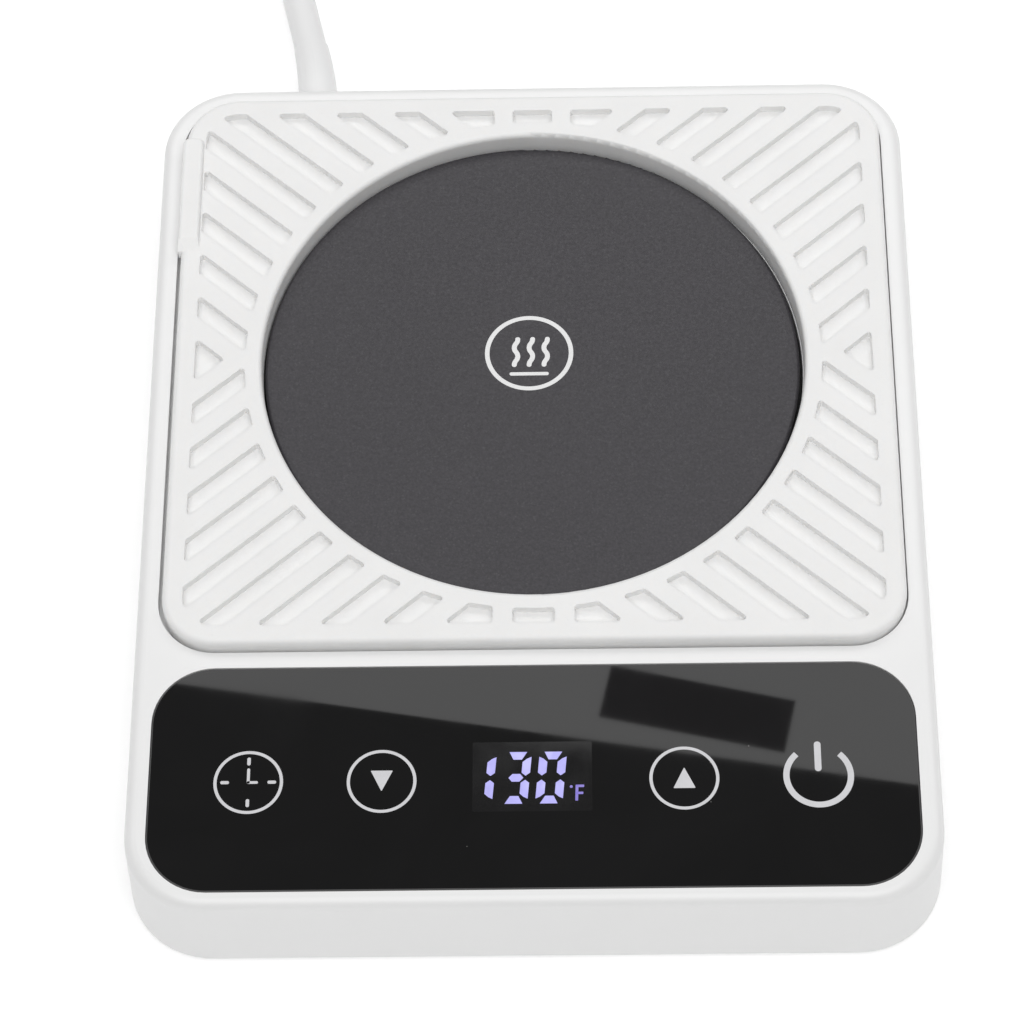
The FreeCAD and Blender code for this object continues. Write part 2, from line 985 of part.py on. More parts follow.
def storage_capacitor():
    """A small can capacitor, lying on the board."""
    z = power_board_top_z + can_radius
    body = Part.makeCylinder(can_radius, can_length, V(can_x - can_length / 2, can_y, z), RIGHT)
    groove_x = can_x + can_length / 2 - can_groove_from_end
    groove = Part.makeTorus(can_radius, can_groove, V(groove_x, can_y, z), RIGHT)
    return body.cut(groove)


def heater_driver():
    """The flat power switch that feeds the heater."""
    body = block(
        triac_width, triac_depth, triac_x, triac_y, power_board_top_z, power_board_top_z + triac_height
    )
    return body.makeChamfer(triac_edge, level_edges(body, power_board_top_z + triac_height))


# Heating plate and everything that sinks with it

def lug_places():
    """Where the plate is screwed to its carrier."""
    return on_ring(lug_ring, lug_count, 0)


def heating_plate():
    """The coated aluminium plate: a shallow dish, face up, with four screw lugs."""
    plate = disc(plate_radius, 0, plate_y, stack_under_z, plate_top_z)
    plate = plate.makeFillet(plate_edge_round, level_edges(plate, plate_top_z))
    inside = disc(plate_radius - plate_skirt_wall, 0, plate_y, stack_under_z - cut_over, plate_under_z)
    plate = plate.cut(inside)
    lugs = [disc(lug_radius, x, y, stack_under_z, plate_under_z) for x, y in lug_places()]
    holes = [
        disc(small_screw_radius + thread_gap, x, y, stack_under_z, stack_under_z + lug_hole_depth)
        for x, y in lug_places()
    ]
    return fused([plate] + lugs).cut(holes)


def stack_disc(low, high, holes):
    """A disc inside the plate's skirt, holed for the lugs and the named places."""
    body = disc(plate_radius - plate_skirt_wall - stack_gap, 0, plate_y, low, high)
    cuts = [disc(lug_radius + stack_gap, x, y, low - cut_over, high + cut_over) for x, y in lug_places()]
    cuts += holes
    return body.cut(cuts)


def terminal_slots(low, high):
    """Slots for the heater's two terminals."""
    return [
        block(
            terminal_width + 2 * terminal_gap,
            terminal_thick + 2 * terminal_gap,
            sx * terminal_x,
            plate_y + terminal_y,
            low,
            high,
        )
        for sx in (-1, 1)
    ]


def heater_film():
    """The flat heating element, slit into two lobes round its middle."""
    slits = [
        block(
            heater_slit_width,
            plate_radius,
            sx * heater_slit_x,
            plate_y + sx * heater_slit_x,
            heater_under_z - cut_over,
            plate_under_z + cut_over,
        )
        for sx in (-1, 1)
    ]
    return stack_disc(heater_under_z, plate_under_z, slits)


def insulation_pad():
    """The mica and fibre pad under the heater."""
    slots = terminal_slots(pad_under_z - cut_over, heater_under_z + cut_over)
    return stack_disc(pad_under_z, heater_under_z, slots)


def back_plate():
    """The steel sheet that presses the pad and heater up."""
    slots = terminal_slots(stack_under_z - cut_over, pad_under_z + cut_over)
    return stack_disc(stack_under_z, pad_under_z, slots)


def heater_terminals():
    """Two brass tabs down through the pad."""
    return [
        block(
            terminal_width,
            terminal_thick,
            sx * terminal_x,
            plate_y + terminal_y,
            heater_under_z - terminal_drop,
            heater_under_z,
        )
        for sx in (-1, 1)
    ]


def plate_carrier():
    """The heat-proof tray under the plate, with its stop flange and guide posts."""
    tray = disc(plate_radius + carrier_overlap, 0, plate_y, carrier_under_z, carrier_top_z)
    post_low = cover_top_z + plate_travel + post_end_gap
    adds = [
        disc(post_radius, x, y, post_low, carrier_under_z) for x, y in on_ring(guide_ring, guide_count, 45)
    ]
    adds.append(disc(actuator_radius, switch_x, switch_y, carrier_under_z - actuator_drop, carrier_under_z))
    tray = fused([tray] + adds)
    low = carrier_under_z - cut_over
    high = carrier_top_z + cut_over
    cuts = terminal_slots(low, high)
    cuts.append(disc(cutoff_radius + part_gap, cutoff_x, plate_y + cutoff_y, low, high))
    cuts.append(disc(sensor_radius + part_gap, sensor_x, plate_y + sensor_y, low, high))
    cuts += [disc(screw_hole_radius, x, y, low, high) for x, y in lug_places()]
    return tray.cut(cuts)


def carrier_screws():
    """Screws up through the carrier into the plate's lugs."""
    length = carrier_thick + lug_hole_depth - part_gap
    return [
        cross_screw(
            x, y, carrier_under_z, small_head_radius, small_head_height, small_screw_radius, length, True
        )
        for x, y in lug_places()
    ]


def thermal_cutoff():
    """The safety cut-out that lies against the back plate."""
    can = disc(cutoff_radius, cutoff_x, plate_y + cutoff_y, stack_under_z - cutoff_height, stack_under_z)
    return can.makeFillet(cutoff_edge, level_edges(can, stack_under_z - cutoff_height))


def temperature_sensor():
    """The sensor bead that lies against the back plate."""
    bead = disc(sensor_radius, sensor_x, plate_y + sensor_y, stack_under_z - sensor_height, stack_under_z)
    return bead.makeFillet(sensor_edge, level_edges(bead, stack_under_z - sensor_height))


def plate_springs():
    """Four springs round the guide sleeves that hold the plate up."""
    return [
        coil_spring(x, y, cover_top_z, carrier_under_z, spring_radius, spring_wire, spring_turns)
        for x, y in on_ring(guide_ring, guide_count, 45)
    ]


# Weight switch

def switch_body():
    """The switch case in its nest on the cover."""
    top = cover_top_z + switch_height
    body = block(switch_length, switch_width, switch_x, switch_y, cover_top_z, top)
    body = body.makeChamfer(switch_edge, upright_edges(body))
    chamber_top = top - switch_lid
    cuts = [
        disc(plunger_radius + plunger_gap, switch_x, switch_y, chamber_top - cut_over, top + cut_over),
        disc(collar_radius + plunger_gap, switch_x, switch_y, chamber_top - switch_chamber, chamber_top),
    ]
    return body.cut(cuts)


def switch_plunger():
    """The switch's pin, under the carrier's pad, with its collar in the chamber."""
    top = carrier_under_z - actuator_drop - plunger_gap
    collar_top = cover_top_z + switch_height - switch_lid - plunger_gap
    pin = disc(plunger_radius, switch_x, switch_y, collar_top - collar_height, top)
    pin = pin.makeFillet(plunger_edge, level_edges(pin, top))
    collar = disc(collar_radius, switch_x, switch_y, collar_top - collar_height, collar_top)
    return fused([pin, collar])


def tab_z():
    """Height of the middle of the switch's tabs."""
    return cover_top_z + pocket_height / 2


def switch_tabs():
    """Two brass tabs on the front of the switch."""
    face_y = switch_y - switch_width / 2
    return [
        block(
            tab_metal_width,
            tab_metal_reach,
            switch_x + sx * tab_metal_spread / 2,
            face_y - tab_metal_reach / 2,
            tab_z() - tab_metal / 2,
            tab_z() + tab_metal / 2,
        )
        for sx in (-1, 1)
    ]


# Wires

def switch_wires():
    """Two thin wires from the switch to the power board."""
    tab_end = switch_y - switch_width / 2 - tab_metal_reach
    wires = []
    for sx in (-1, 1):
        x = switch_x + sx * tab_metal_spread / 2
        far_x = x + sx * wire_shift
        points = [
            V(x, tab_end, tab_z()),
            V(x, tab_end - switch_wire_first_run, tab_z()),
            V(far_x, tab_end - switch_wire_first_run - switch_wire_second_run, tab_z() + switch_wire_rise),
            V(far_x, wire_end_y() + switch_wire_last_run, power_board_top_z + wire_rise),
            V(far_x, wire_end_y(), power_board_top_z + wire_rise),
            V(far_x, wire_end_y(), power_board_top_z),
        ]
        wires.append(routed_tube(points, thin_wire_radius)[0])
    return wires


def wire_end_y():
    """Where the wires from the back are soldered, near the power board's rear edge."""
    return board_rear_y - wire_end_inset


def heater_wires():
    """Two wires from the power board up to the heater's terminals."""
    low = power_board_top_z + wire_rise
    end_z = heater_under_z - terminal_drop
    end_y = plate_y + terminal_y
    wires = []
    for sx in (-1, 1):
        x = sx * terminal_x
        points = [
            V(x, wire_end_y(), power_board_top_z),
            V(x, wire_end_y(), low),
            V(x, wire_end_y() + heater_wire_run, low),
            V(x, end_y - heater_wire_run, low - heater_wire_drop),
            V(x, end_y, low - heater_wire_drop),
            V(x, end_y, end_z),
        ]
        wires.append(routed_tube(points, heater_wire_radius)[0])
    return wires


def mains_wires():
    """The lead's two cores, from its cut end along the left wall to the terminal block."""
    mouth_z = power_board_top_z + block_height / 2
    block_mouth = block_y + block_depth / 2
    bend_y = inner_lead_end_y - mains_wire_first_run
    wires = []
    for sx in (-1, 1):
        start_x = exit_x + sx * wire_spread
        side_x = mains_wire_inset - base_width / 2 + sx * wire_spread
        end_x = block_x + sx * 2 * wire_spread
        points = [
            V(start_x, inner_lead_end_y, exit_z),
            V(start_x, bend_y, exit_z),
            V(side_x, bend_y - mains_wire_bend_run, exit_z - mains_wire_drop),
            V(side_x, block_mouth + mains_wire_front_run, exit_z - mains_wire_front_drop),
            V(end_x, block_mouth + mains_wire_last_run, mouth_z),
            V(end_x, block_mouth - block_depth / 4, mouth_z),
        ]
        wires.append(routed_tube(points, wire_radius)[0])
    return wires


# Mains lead inside the housing and its clamp

def inner_lead():
    """The jacketed end of the lead, from the strain relief through the clamp."""
    return Part.makeCylinder(
        cord_radius,
        relief_seat_y() - relief_flange - inner_lead_end_y,
        V(exit_x, inner_lead_end_y, exit_z),
        BACK,
    )


def lead_clamp():
    """The bar that holds the lead down on its saddle."""
    low = exit_z + clamp_bite
    bar = slab(
        2 * clamp_reach + 2 * clamp_post_radius,
        clamp_width,
        clamp_post_radius,
        exit_x,
        clamp_y,
        low,
        low + clamp_height,
    )
    groove = Part.makeCylinder(
        cord_radius + clamp_groove_gap,
        2 * clamp_width,
        V(exit_x, clamp_y - clamp_width, exit_z),
        BACK,
    )
    high = low + clamp_height + cut_over
    holes = [disc(screw_hole_radius, x, y, low - cut_over, high) for x, y in clamp_places()]
    return bar.cut([groove] + holes)


def clamp_screws():
    """Two screws down through the clamp bar."""
    seat = exit_z + clamp_bite + clamp_height
    length = seat - cover_top_z - pilot_end_gap
    return [
        cross_screw(x, y, seat, small_head_radius, small_head_height, small_screw_radius, length, False)
        for x, y in clamp_places()
    ]


# Mains lead outside the housing

def exit_heading():
    """The way that the lead points at the end of its strain relief."""
    return V(*exit_turn).normalize()


def wall_y():
    """Where the back wall's outside is at the lead's height."""
    return base_depth / 2 - inset_at(exit_z)


def relief_seat_y():
    """Where the strain relief's flange bears on the back wall's inside."""
    flange_top = exit_z + relief_flange_radius
    return base_depth / 2 - side_wall - inset_at(flange_top)


def relief_arc():
    """The strain relief's bend: its radius and the way it bends."""
    heading = exit_heading()
    turn = BACK.getAngle(heading)
    sideways = (heading - BACK * heading.dot(BACK)).normalize()
    return relief_length / turn, sideways, turn


def relief_point(share):
    """A point and a heading along the strain relief's bend, share 0 at the wall."""
    radius, sideways, turn = relief_arc()
    angle = turn * share
    start = V(exit_x, wall_y(), exit_z)
    point = start + BACK * (radius * math.sin(angle)) + sideways * (radius * (1 - math.cos(angle)))
    heading = BACK * math.cos(angle) + sideways * math.sin(angle)
    return point, heading


def strain_relief():
    """A slim tapered sleeve that bends with the cord, with a flange behind the wall."""
    inside_y = relief_seat_y()
    neck = Part.makeCylinder(relief_root_radius, wall_y() - inside_y, V(exit_x, inside_y, exit_z), BACK)
    flange = Part.makeCylinder(
        relief_flange_radius, relief_flange, V(exit_x, inside_y - relief_flange, exit_z), BACK
    )
    rings = []
    for i in range(relief_stations):
        share = i / (relief_stations - 1)
        point, heading = relief_point(share)
        radius = relief_root_radius + (relief_tip_radius - relief_root_radius) * share
        rings.append(Part.Wire([Part.Circle(point, heading, radius).toShape()]))
    sleeve = Part.makeLoft(rings, True, False)
    return fused([flange, neck, sleeve])


def cord_route():
    """The free cord's points, from the strain relief to the coil."""
    return [
        relief_point(1)[0],
        relief_point(1)[0] + exit_heading() * first_run,
        V(exit_x - bend_shift, base_depth / 2 + bend_stand_off, cord_radius + bend_lift),
        V(coil_entry_x, base_depth / 2 + lying_stand_off, coil_low_z()),
        V(coil_entry_x, coil_centre_y - cord_diameter, coil_low_z()),
    ]


def coil_low_z():
    """Height of the coil's lower layer."""
    return cord_radius + coil_lift


def free_cord():
    """The stretch of cord between the housing and the coil."""
    body, radii, length = routed_tube(cord_route(), cord_radius)
    section = math.pi * cord_radius * cord_radius
    print("free cord: arc radii", [round(r, 1) for r in radii], "length", round(length, 1))
    print("free cord: volume over section times length", round(body.Volume / (section * length), 4))
    return body, length


def coil_place(turns):
    """A point on the coil, counted in turns from where the cord enters it."""
    middle = coil_turns / 2
    radius = coil_outer_radius - coil_pitch * min(turns, coil_turns - turns)
    share = min(max((turns - middle + 0.25) / 0.5, 0), 1)
    rise = coil_layer_step * (1 - math.cos(math.pi * share)) / 2
    angle = math.pi - 2 * math.pi * turns
    return V(
        coil_entry_x + coil_outer_radius + radius * math.cos(angle),
        coil_centre_y + radius * math.sin(angle),
        coil_low_z() + rise,
    )


def coil_knots():
    """Points and headings along the coil, every quarter turn, and every eighth in the climb."""
    middle = coil_turns / 2
    inward = [i * 0.25 for i in range(math.ceil(4 * (middle - 0.35)))]
    climb = [middle + i * 0.125 for i in range(-2, 3)]
    outward = [coil_turns - turns for turns in reversed(inward)]
    nudge = 0.002
    knots = []
    for turns in inward + climb + outward:
        heading = coil_place(min(turns + nudge, coil_turns)) - coil_place(max(turns - nudge, 0))
        knots.append((coil_place(turns), heading.normalize()))
    knots[0] = (knots[0][0], BACK)
    knots[-1] = (knots[-1][0], RIGHT)
    return knots


def coil_edges():
    """The coil's whole path: a straight start, the turns, and the straight tail."""
    knots = coil_knots()
    first = knots[0][0]
    last = knots[-1][0]
    edges = [Part.LineSegment(first - BACK * cord_diameter, first).toShape()]
    for (p, t), (q, s) in zip(knots, knots[1:]):
        edges += biarc(p, t, q, s)
    edges.append(Part.LineSegment(last, last + RIGHT * tail_length).toShape())
    return edges


def cord_coil():
    """The rest of the cord, wound in two layers, as one unbroken tube."""
    edges = coil_edges()
    length = sum(e.Length for e in edges)
    start = edges[0].Vertexes[0].Point
    body = tube(edges, cord_radius, start, BACK)
    step = 2.0
    points = spaced_points(edges, step)
    gap = least_gap(points, cord_diameter, round(4 * cord_diameter / step))
    section = math.pi * cord_radius * cord_radius
    print("coil: length", round(length, 1), "least gap to itself", round(gap, 2))
    print("coil: volume over section times length", round(body.Volume / (section * length), 4))
    return body, length


def coil_tie():
    """The strap round the coil's turns."""
    turns = (180 - tie_angle) / 360
    outer = coil_outer_radius - coil_pitch * turns
    inner = outer - 2 * coil_pitch
    low_r = inner - cord_radius - tie_gap
    high_r = outer + cord_radius + tie_gap
    low_z = tie_floor_gap + tie_thick
    high_z = coil_low_z() + coil_layer_step + cord_radius + tie_gap / 2
    shapes = []
    for grow in (tie_thick, 0):
        outline = rounded_rect(
            high_r - low_r + 2 * grow,
            high_z - low_z + 2 * grow,
            tie_corner + grow,
            (low_r + high_r) / 2,
            (low_z + high_z) / 2,
            0,
        )
        shapes.append(Part.Face(outline).extrude(V(0, 0, tie_width)))
    loop = shapes[0].cut(shapes[1])
    loop.translate(V(0, 0, -tie_width / 2))
    loop.rotate(V(0, 0, 0), RIGHT, 90)
    loop.rotate(V(0, 0, 0), UP, tie_angle)
    loop.translate(V(coil_entry_x + coil_outer_radius, coil_centre_y, 0))
    return loop


def plug_start():
    """Where the coil's tail meets the plug."""
    return coil_knots()[-1][0] + RIGHT * tail_length


def plug_body():
    """The moulded plug, lying on the table beside the coil."""
    start = plug_start()
    root = start + RIGHT * plug_neck_length
    neck = Part.makeCone(plug_neck_tip, plug_neck_root, plug_neck_length, start, RIGHT)
    thick = 2 * start.z
    body = slab(plug_width, thick, plug_corner, 0, 0, 0, plug_length)
    body = body.makeFillet(plug_edge, level_edges(body, 0) + level_edges(body, plug_length))
    body.rotate(V(0, 0, 0), UP, 90)
    body.rotate(V(0, 0, 0), BACK, 90)
    body.translate(root)
    return fused([neck, body])


def plug_blades():
    """Two flat blades, one a little wider than the other."""
    face = plug_start() + RIGHT * (plug_neck_length + plug_length)
    blades = []
    for side, width in ((-1, blade_width), (1, blade_width_wide)):
        y = face.y + side * blade_spacing / 2
        corner = V(face.x, y - blade_thick / 2, face.z - width / 2)
        blade = Part.makeBox(blade_length, blade_thick, width, corner)
        tip = [e for e in blade.Edges if abs(e.BoundBox.XMin - face.x - blade_length) < 1e-4]
        blade = blade.makeChamfer(blade_edge, tip)
        hole_x = face.x + blade_length - blade_hole_from_tip
        hole = Part.makeCylinder(blade_hole_radius, 2 * blade_thick, V(hole_x, y - blade_thick, face.z), BACK)
        blades.append(blade.cut(hole))
    return blades


# Silicone mat

def mat_field():
    """The space between the mat's rim and its ring, where the pockets are."""
    width = well_width - 2 * mat_gap_side - 2 * mat_rim
    depth = well_depth - 2 * mat_gap_end - 2 * mat_rim
    low = mat_top_z - pocket_depth
    high = mat_top_z + cut_over
    field = slab(width, depth, rim_inner_corner, 0, 0, low, high)
    ring_radius = plate_radius + mat_hole_gap + mat_ring
    return field.cut(disc(ring_radius, 0, 0, low - cut_over, high + cut_over))


def mat_ribs():
    """The slanting ribs of all four quarters, and the short ribs at front and back."""
    low = mat_top_z - pocket_depth - cut_over
    high = mat_top_z + 2 * cut_over
    reach = well_width
    ribs = []
    for i in range(rib_first, rib_last + 1):
        offset = rib_start + rib_pitch * i
        for sx in (-1, 1):
            for sy in (-1, 1):
                rib = Part.makeBox(2 * reach, rib_width, high - low, V(-reach, offset - rib_width / 2, low))
                rib.rotate(V(0, 0, 0), UP, rib_angle)
                rib = rib.common(Part.makeBox(reach, reach, high - low, V(0, 0, low)))
                if sx < 0:
                    rib = rib.mirror(V(0, 0, 0), RIGHT)
                if sy < 0:
                    rib = rib.mirror(V(0, 0, 0), BACK)
                ribs.append(rib)
    for sx in (-1, 1):
        ribs.append(block(short_rib_width, well_depth, sx * short_rib_x, 0, low, high))
    return ribs


def mat_pockets():
    """The sunk floors between the ribs, each a shallow prism with eased corners."""
    sunk = mat_field().cut(mat_ribs())
    pockets = []
    for pocket in sunk.Solids:
        pockets.append(pocket.makeFillet(pocket_corner, upright_edges(pocket)))
    return pockets


def lift_tab():
    """The raised grip at the mat's left rear edge, sloped down at its front end."""
    outer_x = tab_over - well_width / 2 - mat_shift
    low = deck_z + tab_under
    top = mat_top_z + tab_rise
    front_y = tab_rear_y - tab_length
    side = [
        V(outer_x, front_y - tab_slope, low),
        V(outer_x, tab_rear_y, low),
        V(outer_x, tab_rear_y, top),
        V(outer_x, front_y, top),
        V(outer_x, front_y - tab_slope, mat_top_z - tab_under),
        V(outer_x, front_y - tab_slope, low),
    ]
    tab = Part.Face(Part.makePolygon(side)).extrude(V(tab_width, 0, 0))
    rear = [e for e in upright_edges(tab) if e.BoundBox.YMin > tab_rear_y - tab_round]
    tab = tab.makeFillet(tab_corner, rear)
    return tab.makeFillet(tab_round, [e for e in tab.Edges if e.BoundBox.ZMin > top - tab_round / 4])


def silicone_mat():
    """The white lift-off mat: rim, ring round the plate, ribs, pockets and lift tab."""
    width = well_width - 2 * mat_gap_side
    depth = well_depth - 2 * mat_gap_end
    mat = slab(width, depth, mat_corner, 0, 0, well_z, mat_top_z)
    mat = mat.makeFillet(mat_outer_round, level_edges(mat, mat_top_z))
    hole_radius = plate_radius + mat_hole_gap
    mat = mat.cut(disc(hole_radius, 0, 0, well_z - cut_over, mat_top_z + cut_over))
    lip = [e for e in level_edges(mat, mat_top_z) if abs(e.BoundBox.XMax - hole_radius) < 1e-3]
    mat = mat.makeFillet(mat_hole_round, lip)
    mat = fused([mat.cut(mat_pockets()), lift_tab()])
    return moved(mat, mat_shift, plate_y, 0)


def write(name, shape):
    """Write one node: a solid, or a group of separate solids."""
    whole = shape if not isinstance(shape, list) else Part.makeCompound(shape)
    count = len(whole.Solids)
    valid = whole.isValid()
    print(name, "solids", count, "valid", valid, "volume", round(whole.Volume, 1))
    whole.exportStep(os.path.join("parts", name + ".step"))


def main():
    """Build every node and write it."""
    os.makedirs("parts", exist_ok=True)
    cord, cord_length = free_cord()
    coil, coil_length = cord_coil()
    print("cord outside the housing", round(relief_length + cord_length + coil_length, 1))
    nodes = {
        "top_housing": top_housing(),
        "bottom_cover": bottom_cover(),
        "rubber_feet": rubber_feet(),
        "cover_screws": cover_screws(),
        "glass_panel": glass_panel(),
        "panel_bond": panel_bond(),
        "touch_board": touch_board(),
        "touch_board_screws": touch_board_screws(),
        "display_module": display_module(),
        "key_springs": key_springs(),
        "power_board": power_board(),
        "power_board_screws": power_board_screws(),
        "board_link": board_link(),
        "terminal_block": terminal_block(),
        "fuse": fuse(),
        "film_capacitor": film_capacitor(),
        "storage_capacitor": storage_capacitor(),
        "heater_driver": heater_driver(),
        "heating_plate": heating_plate(),
        "heater_film": heater_film(),
        "insulation_pad": insulation_pad(),
        "back_plate": back_plate(),
        "heater_terminals": heater_terminals(),
        "plate_carrier": plate_carrier(),
        "carrier_screws": carrier_screws(),
        "thermal_cutoff": thermal_cutoff(),
        "temperature_sensor": temperature_sensor(),
        "plate_springs": plate_springs(),
        "switch_body": switch_body(),
        "switch_plunger": switch_plunger(),
        "switch_tabs": switch_tabs(),
        "switch_wires": switch_wires(),
        "heater_wires": heater_wires(),
        "mains_wires": mains_wires(),
        "inner_lead": inner_lead(),
        "lead_clamp": lead_clamp(),
        "clamp_screws": clamp_screws(),
        "silicone_mat": silicone_mat(),
        "strain_relief": strain_relief(),
        "cord_free": cord,
        "cord_coil": coil,
        "coil_tie": coil_tie(),
        "plug_body": plug_body(),
        "plug_blades": plug_blades(),
    }
    for name, shape in nodes.items():
        write(name, shape)


main()
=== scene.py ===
"""Looks of the mug warmer: its prints, mains lead and finishes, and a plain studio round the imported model."""

from __future__ import annotations

import json
import logging
import math
from dataclasses import dataclass
from enum import Enum

import bmesh
import bpy
from mathutils import Matrix, Vector

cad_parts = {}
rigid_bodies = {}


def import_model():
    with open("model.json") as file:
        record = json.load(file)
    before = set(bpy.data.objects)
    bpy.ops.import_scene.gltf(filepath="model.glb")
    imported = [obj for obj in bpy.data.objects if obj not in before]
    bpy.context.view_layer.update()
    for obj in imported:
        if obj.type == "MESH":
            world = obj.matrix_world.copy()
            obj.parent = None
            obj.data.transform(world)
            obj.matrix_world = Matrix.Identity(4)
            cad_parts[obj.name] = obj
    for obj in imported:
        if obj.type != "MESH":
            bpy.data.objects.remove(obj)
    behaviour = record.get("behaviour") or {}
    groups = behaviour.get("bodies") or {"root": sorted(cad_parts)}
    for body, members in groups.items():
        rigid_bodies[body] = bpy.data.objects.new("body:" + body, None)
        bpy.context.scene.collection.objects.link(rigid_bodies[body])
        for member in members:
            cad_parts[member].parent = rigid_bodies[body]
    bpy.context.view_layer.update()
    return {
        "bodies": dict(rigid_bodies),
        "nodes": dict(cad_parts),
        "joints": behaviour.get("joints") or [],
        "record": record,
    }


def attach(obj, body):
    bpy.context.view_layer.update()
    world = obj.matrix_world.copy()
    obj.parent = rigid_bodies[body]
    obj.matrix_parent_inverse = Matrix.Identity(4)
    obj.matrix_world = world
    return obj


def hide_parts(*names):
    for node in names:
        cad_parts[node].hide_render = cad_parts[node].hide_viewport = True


log = logging.getLogger("mug_warmer")

Point = tuple[float, float, float]
Colour = tuple[float, float, float]
Place = tuple[float, float]
Socket = bpy.types.NodeSocket
Shape = bmesh.types.BMesh

MM = 0.001


class Body(Enum):
    """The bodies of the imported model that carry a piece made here."""

    HOUSING = "housing"
    HOT_PLATE = "hot_plate"
    MAT = "mat"


class Turn(Enum):
    """Which way a drawn stroke bends as it goes on."""

    LEFT = 1
    RIGHT = -1


def srgb(red: int, green: int, blue: int) -> Colour:
    """Turn a colour read from a picture into the shader's linear values.

    Args:
        red: Red from 0 to 255.
        green: Green from 0 to 255.
        blue: Blue from 0 to 255.

    Returns:
        The colour in linear light.
    """
    parts = []
    for part in (red, green, blue):
        share = part / 255
        parts.append(share / 12.92 if share <= 0.04045 else ((share + 0.055) / 1.055) ** 2.4)
    return parts[0], parts[1], parts[2]


class Shading:
    """One material's node tree, with the few calls that the finishes share."""

    def __init__(self, name: str) -> None:
        """Start a material that has only its principled shader and object coordinates.

        Args:
            name: The material's name.
        """
        self.material = bpy.data.materials.new(name)
        self.material.use_nodes = True
        self.nodes = self.material.node_tree.nodes
        self.links = self.material.node_tree.links
        self.skin = self.nodes["Principled BSDF"]
        self.spot = self.nodes.new("ShaderNodeTexCoord").outputs["Object"]
        self.surface: Socket | None = None

    def fixed(self, **values: float | tuple) -> None:
        """Set sockets of the shader that are the same all over, by name with underscores for spaces."""
        self.settle(self.skin, values)

    def settle(self, node: bpy.types.Node, values: dict[str, float | tuple]) -> bpy.types.Node:
        """Set a node's inputs.

        Args:
            node: The node.
            values: Its inputs by name, with underscores for spaces.

        Returns:
            The same node.
        """
        for name, value in values.items():
            node.inputs[name.replace("_", " ")].default_value = value
        return node

    def pattern(self, kind: str, at: Socket | None, **values: float) -> bpy.types.Node:
        """Add a pattern's node.

        Args:
            kind: Its kind.
            at: Coordinates to use, or None for plain object coordinates.
            values: Its inputs, by name.

        Returns:
            The node.
        """
        node = self.settle(self.nodes.new(f"ShaderNodeTex{kind}"), values)
        self.links.new(at or self.spot, node.inputs["Vector"])
        return node

    def base(self, colour: Colour) -> None:
        """Give the whole surface one base colour, before any pattern is mixed in."""
        self.skin.inputs["Base Color"].default_value = (*colour, 1)

    def feed(self, name: str, source: Socket) -> None:
        """Drive one of the shader's sockets from a pattern."""
        self.links.new(source, self.skin.inputs[name])

    def tone(self, source: Socket) -> None:
        """Give the surface its base colour from a pattern."""
        self.feed("Base Color", source)

    def rough(self, source: Socket, low: float, high: float) -> None:
        """Let the roughness run from one value to another over the middle of a pattern."""
        self.feed("Roughness", self.remap(source, to_low=low, to_high=high))

    def mapped(self, stretch: Point = (1, 1, 1), turn: Point = (0, 0, 0), shift: Point = (0, 0, 0)) -> Socket:
        """Stretch, turn and centre the object coordinates for one pattern.

        Args:
            stretch: How many times finer the pattern is along each axis.
            turn: Turns about the axes in degrees.
            shift: Where the pattern's origin goes, in metres before the stretch.

        Returns:
            The coordinates to hand to a pattern.
        """
        mapping = self.nodes.new("ShaderNodeMapping")
        mapping.vector_type = "POINT"
        self.settle(mapping, {"Location": shift, "Rotation": [math.radians(angle) for angle in turn], "Scale": stretch})
        self.links.new(self.spot, mapping.inputs["Vector"])
        return mapping.outputs["Vector"]

    def noise(
        self, size: float, detail: float = 2, rough: float = 0.5, at: Socket | None = None, warp: float = 0
    ) -> Socket:
        """Make a cloudy pattern.

        Args:
            size: Size of a cloud in millimetres.
            detail: How many finer layers it has.
            rough: How strong the finer layers are.
            at: Coordinates to use, or None for plain object coordinates.
            warp: How much the pattern folds over itself.

        Returns:
            The pattern's height from 0 to 1.
        """
        node = self.pattern("Noise", at, Scale=1 / (size * MM), Detail=detail, Roughness=rough, Distortion=warp)
        return node.outputs["Fac"]

    def cells(self, size: float, output: str = "Distance", at: Socket | None = None) -> Socket:
        """Make a pattern of cells.

        Args:
            size: Size of a cell in millimetres.
            output: The measure of the cells to give.
            at: Coordinates to use, or None for plain object coordinates.

        Returns:
            The chosen measure.
        """
        return self.pattern("Voronoi", at, Scale=1 / (size * MM)).outputs[output]

    def bands(
        self, size: float, along: str = "X", warp: float = 0, rings: bool = False, at: Socket | None = None
    ) -> Socket:
        """Make even bands or rings.

        Args:
            size: Width of one band in millimetres.
            along: The axis that the bands follow one another along.
            warp: How much they waver.
            rings: Whether they are rings round that axis.
            at: Coordinates to use, or None for plain object coordinates.

        Returns:
            The pattern's height from 0 to 1.
        """
        node = self.pattern("Wave", at, Scale=math.pi / 10 / (size * MM), Distortion=warp, Detail=1)
        node.wave_type = "RINGS" if rings else "BANDS"
        node.rings_direction = node.bands_direction = along
        return node.outputs["Fac"]

    def remap(
        self, source: Socket, low: float = 0.3, high: float = 0.7, to_low: float = 0, to_high: float = 1
    ) -> Socket:
        """Stretch part of a pattern's range to another range.

        Args:
            source: The pattern.
            low: The value that becomes to_low.
            high: The value that becomes to_high.
            to_low: Lower end of the result.
            to_high: Upper end of the result.

        Returns:
            The clamped result.
        """
        node = self.nodes.new("ShaderNodeMapRange")
        self.settle(node, {"From Min": low, "From Max": high, "To Min": to_low, "To Max": to_high})
        self.links.new(source, node.inputs["Value"])
        return node.outputs["Result"]

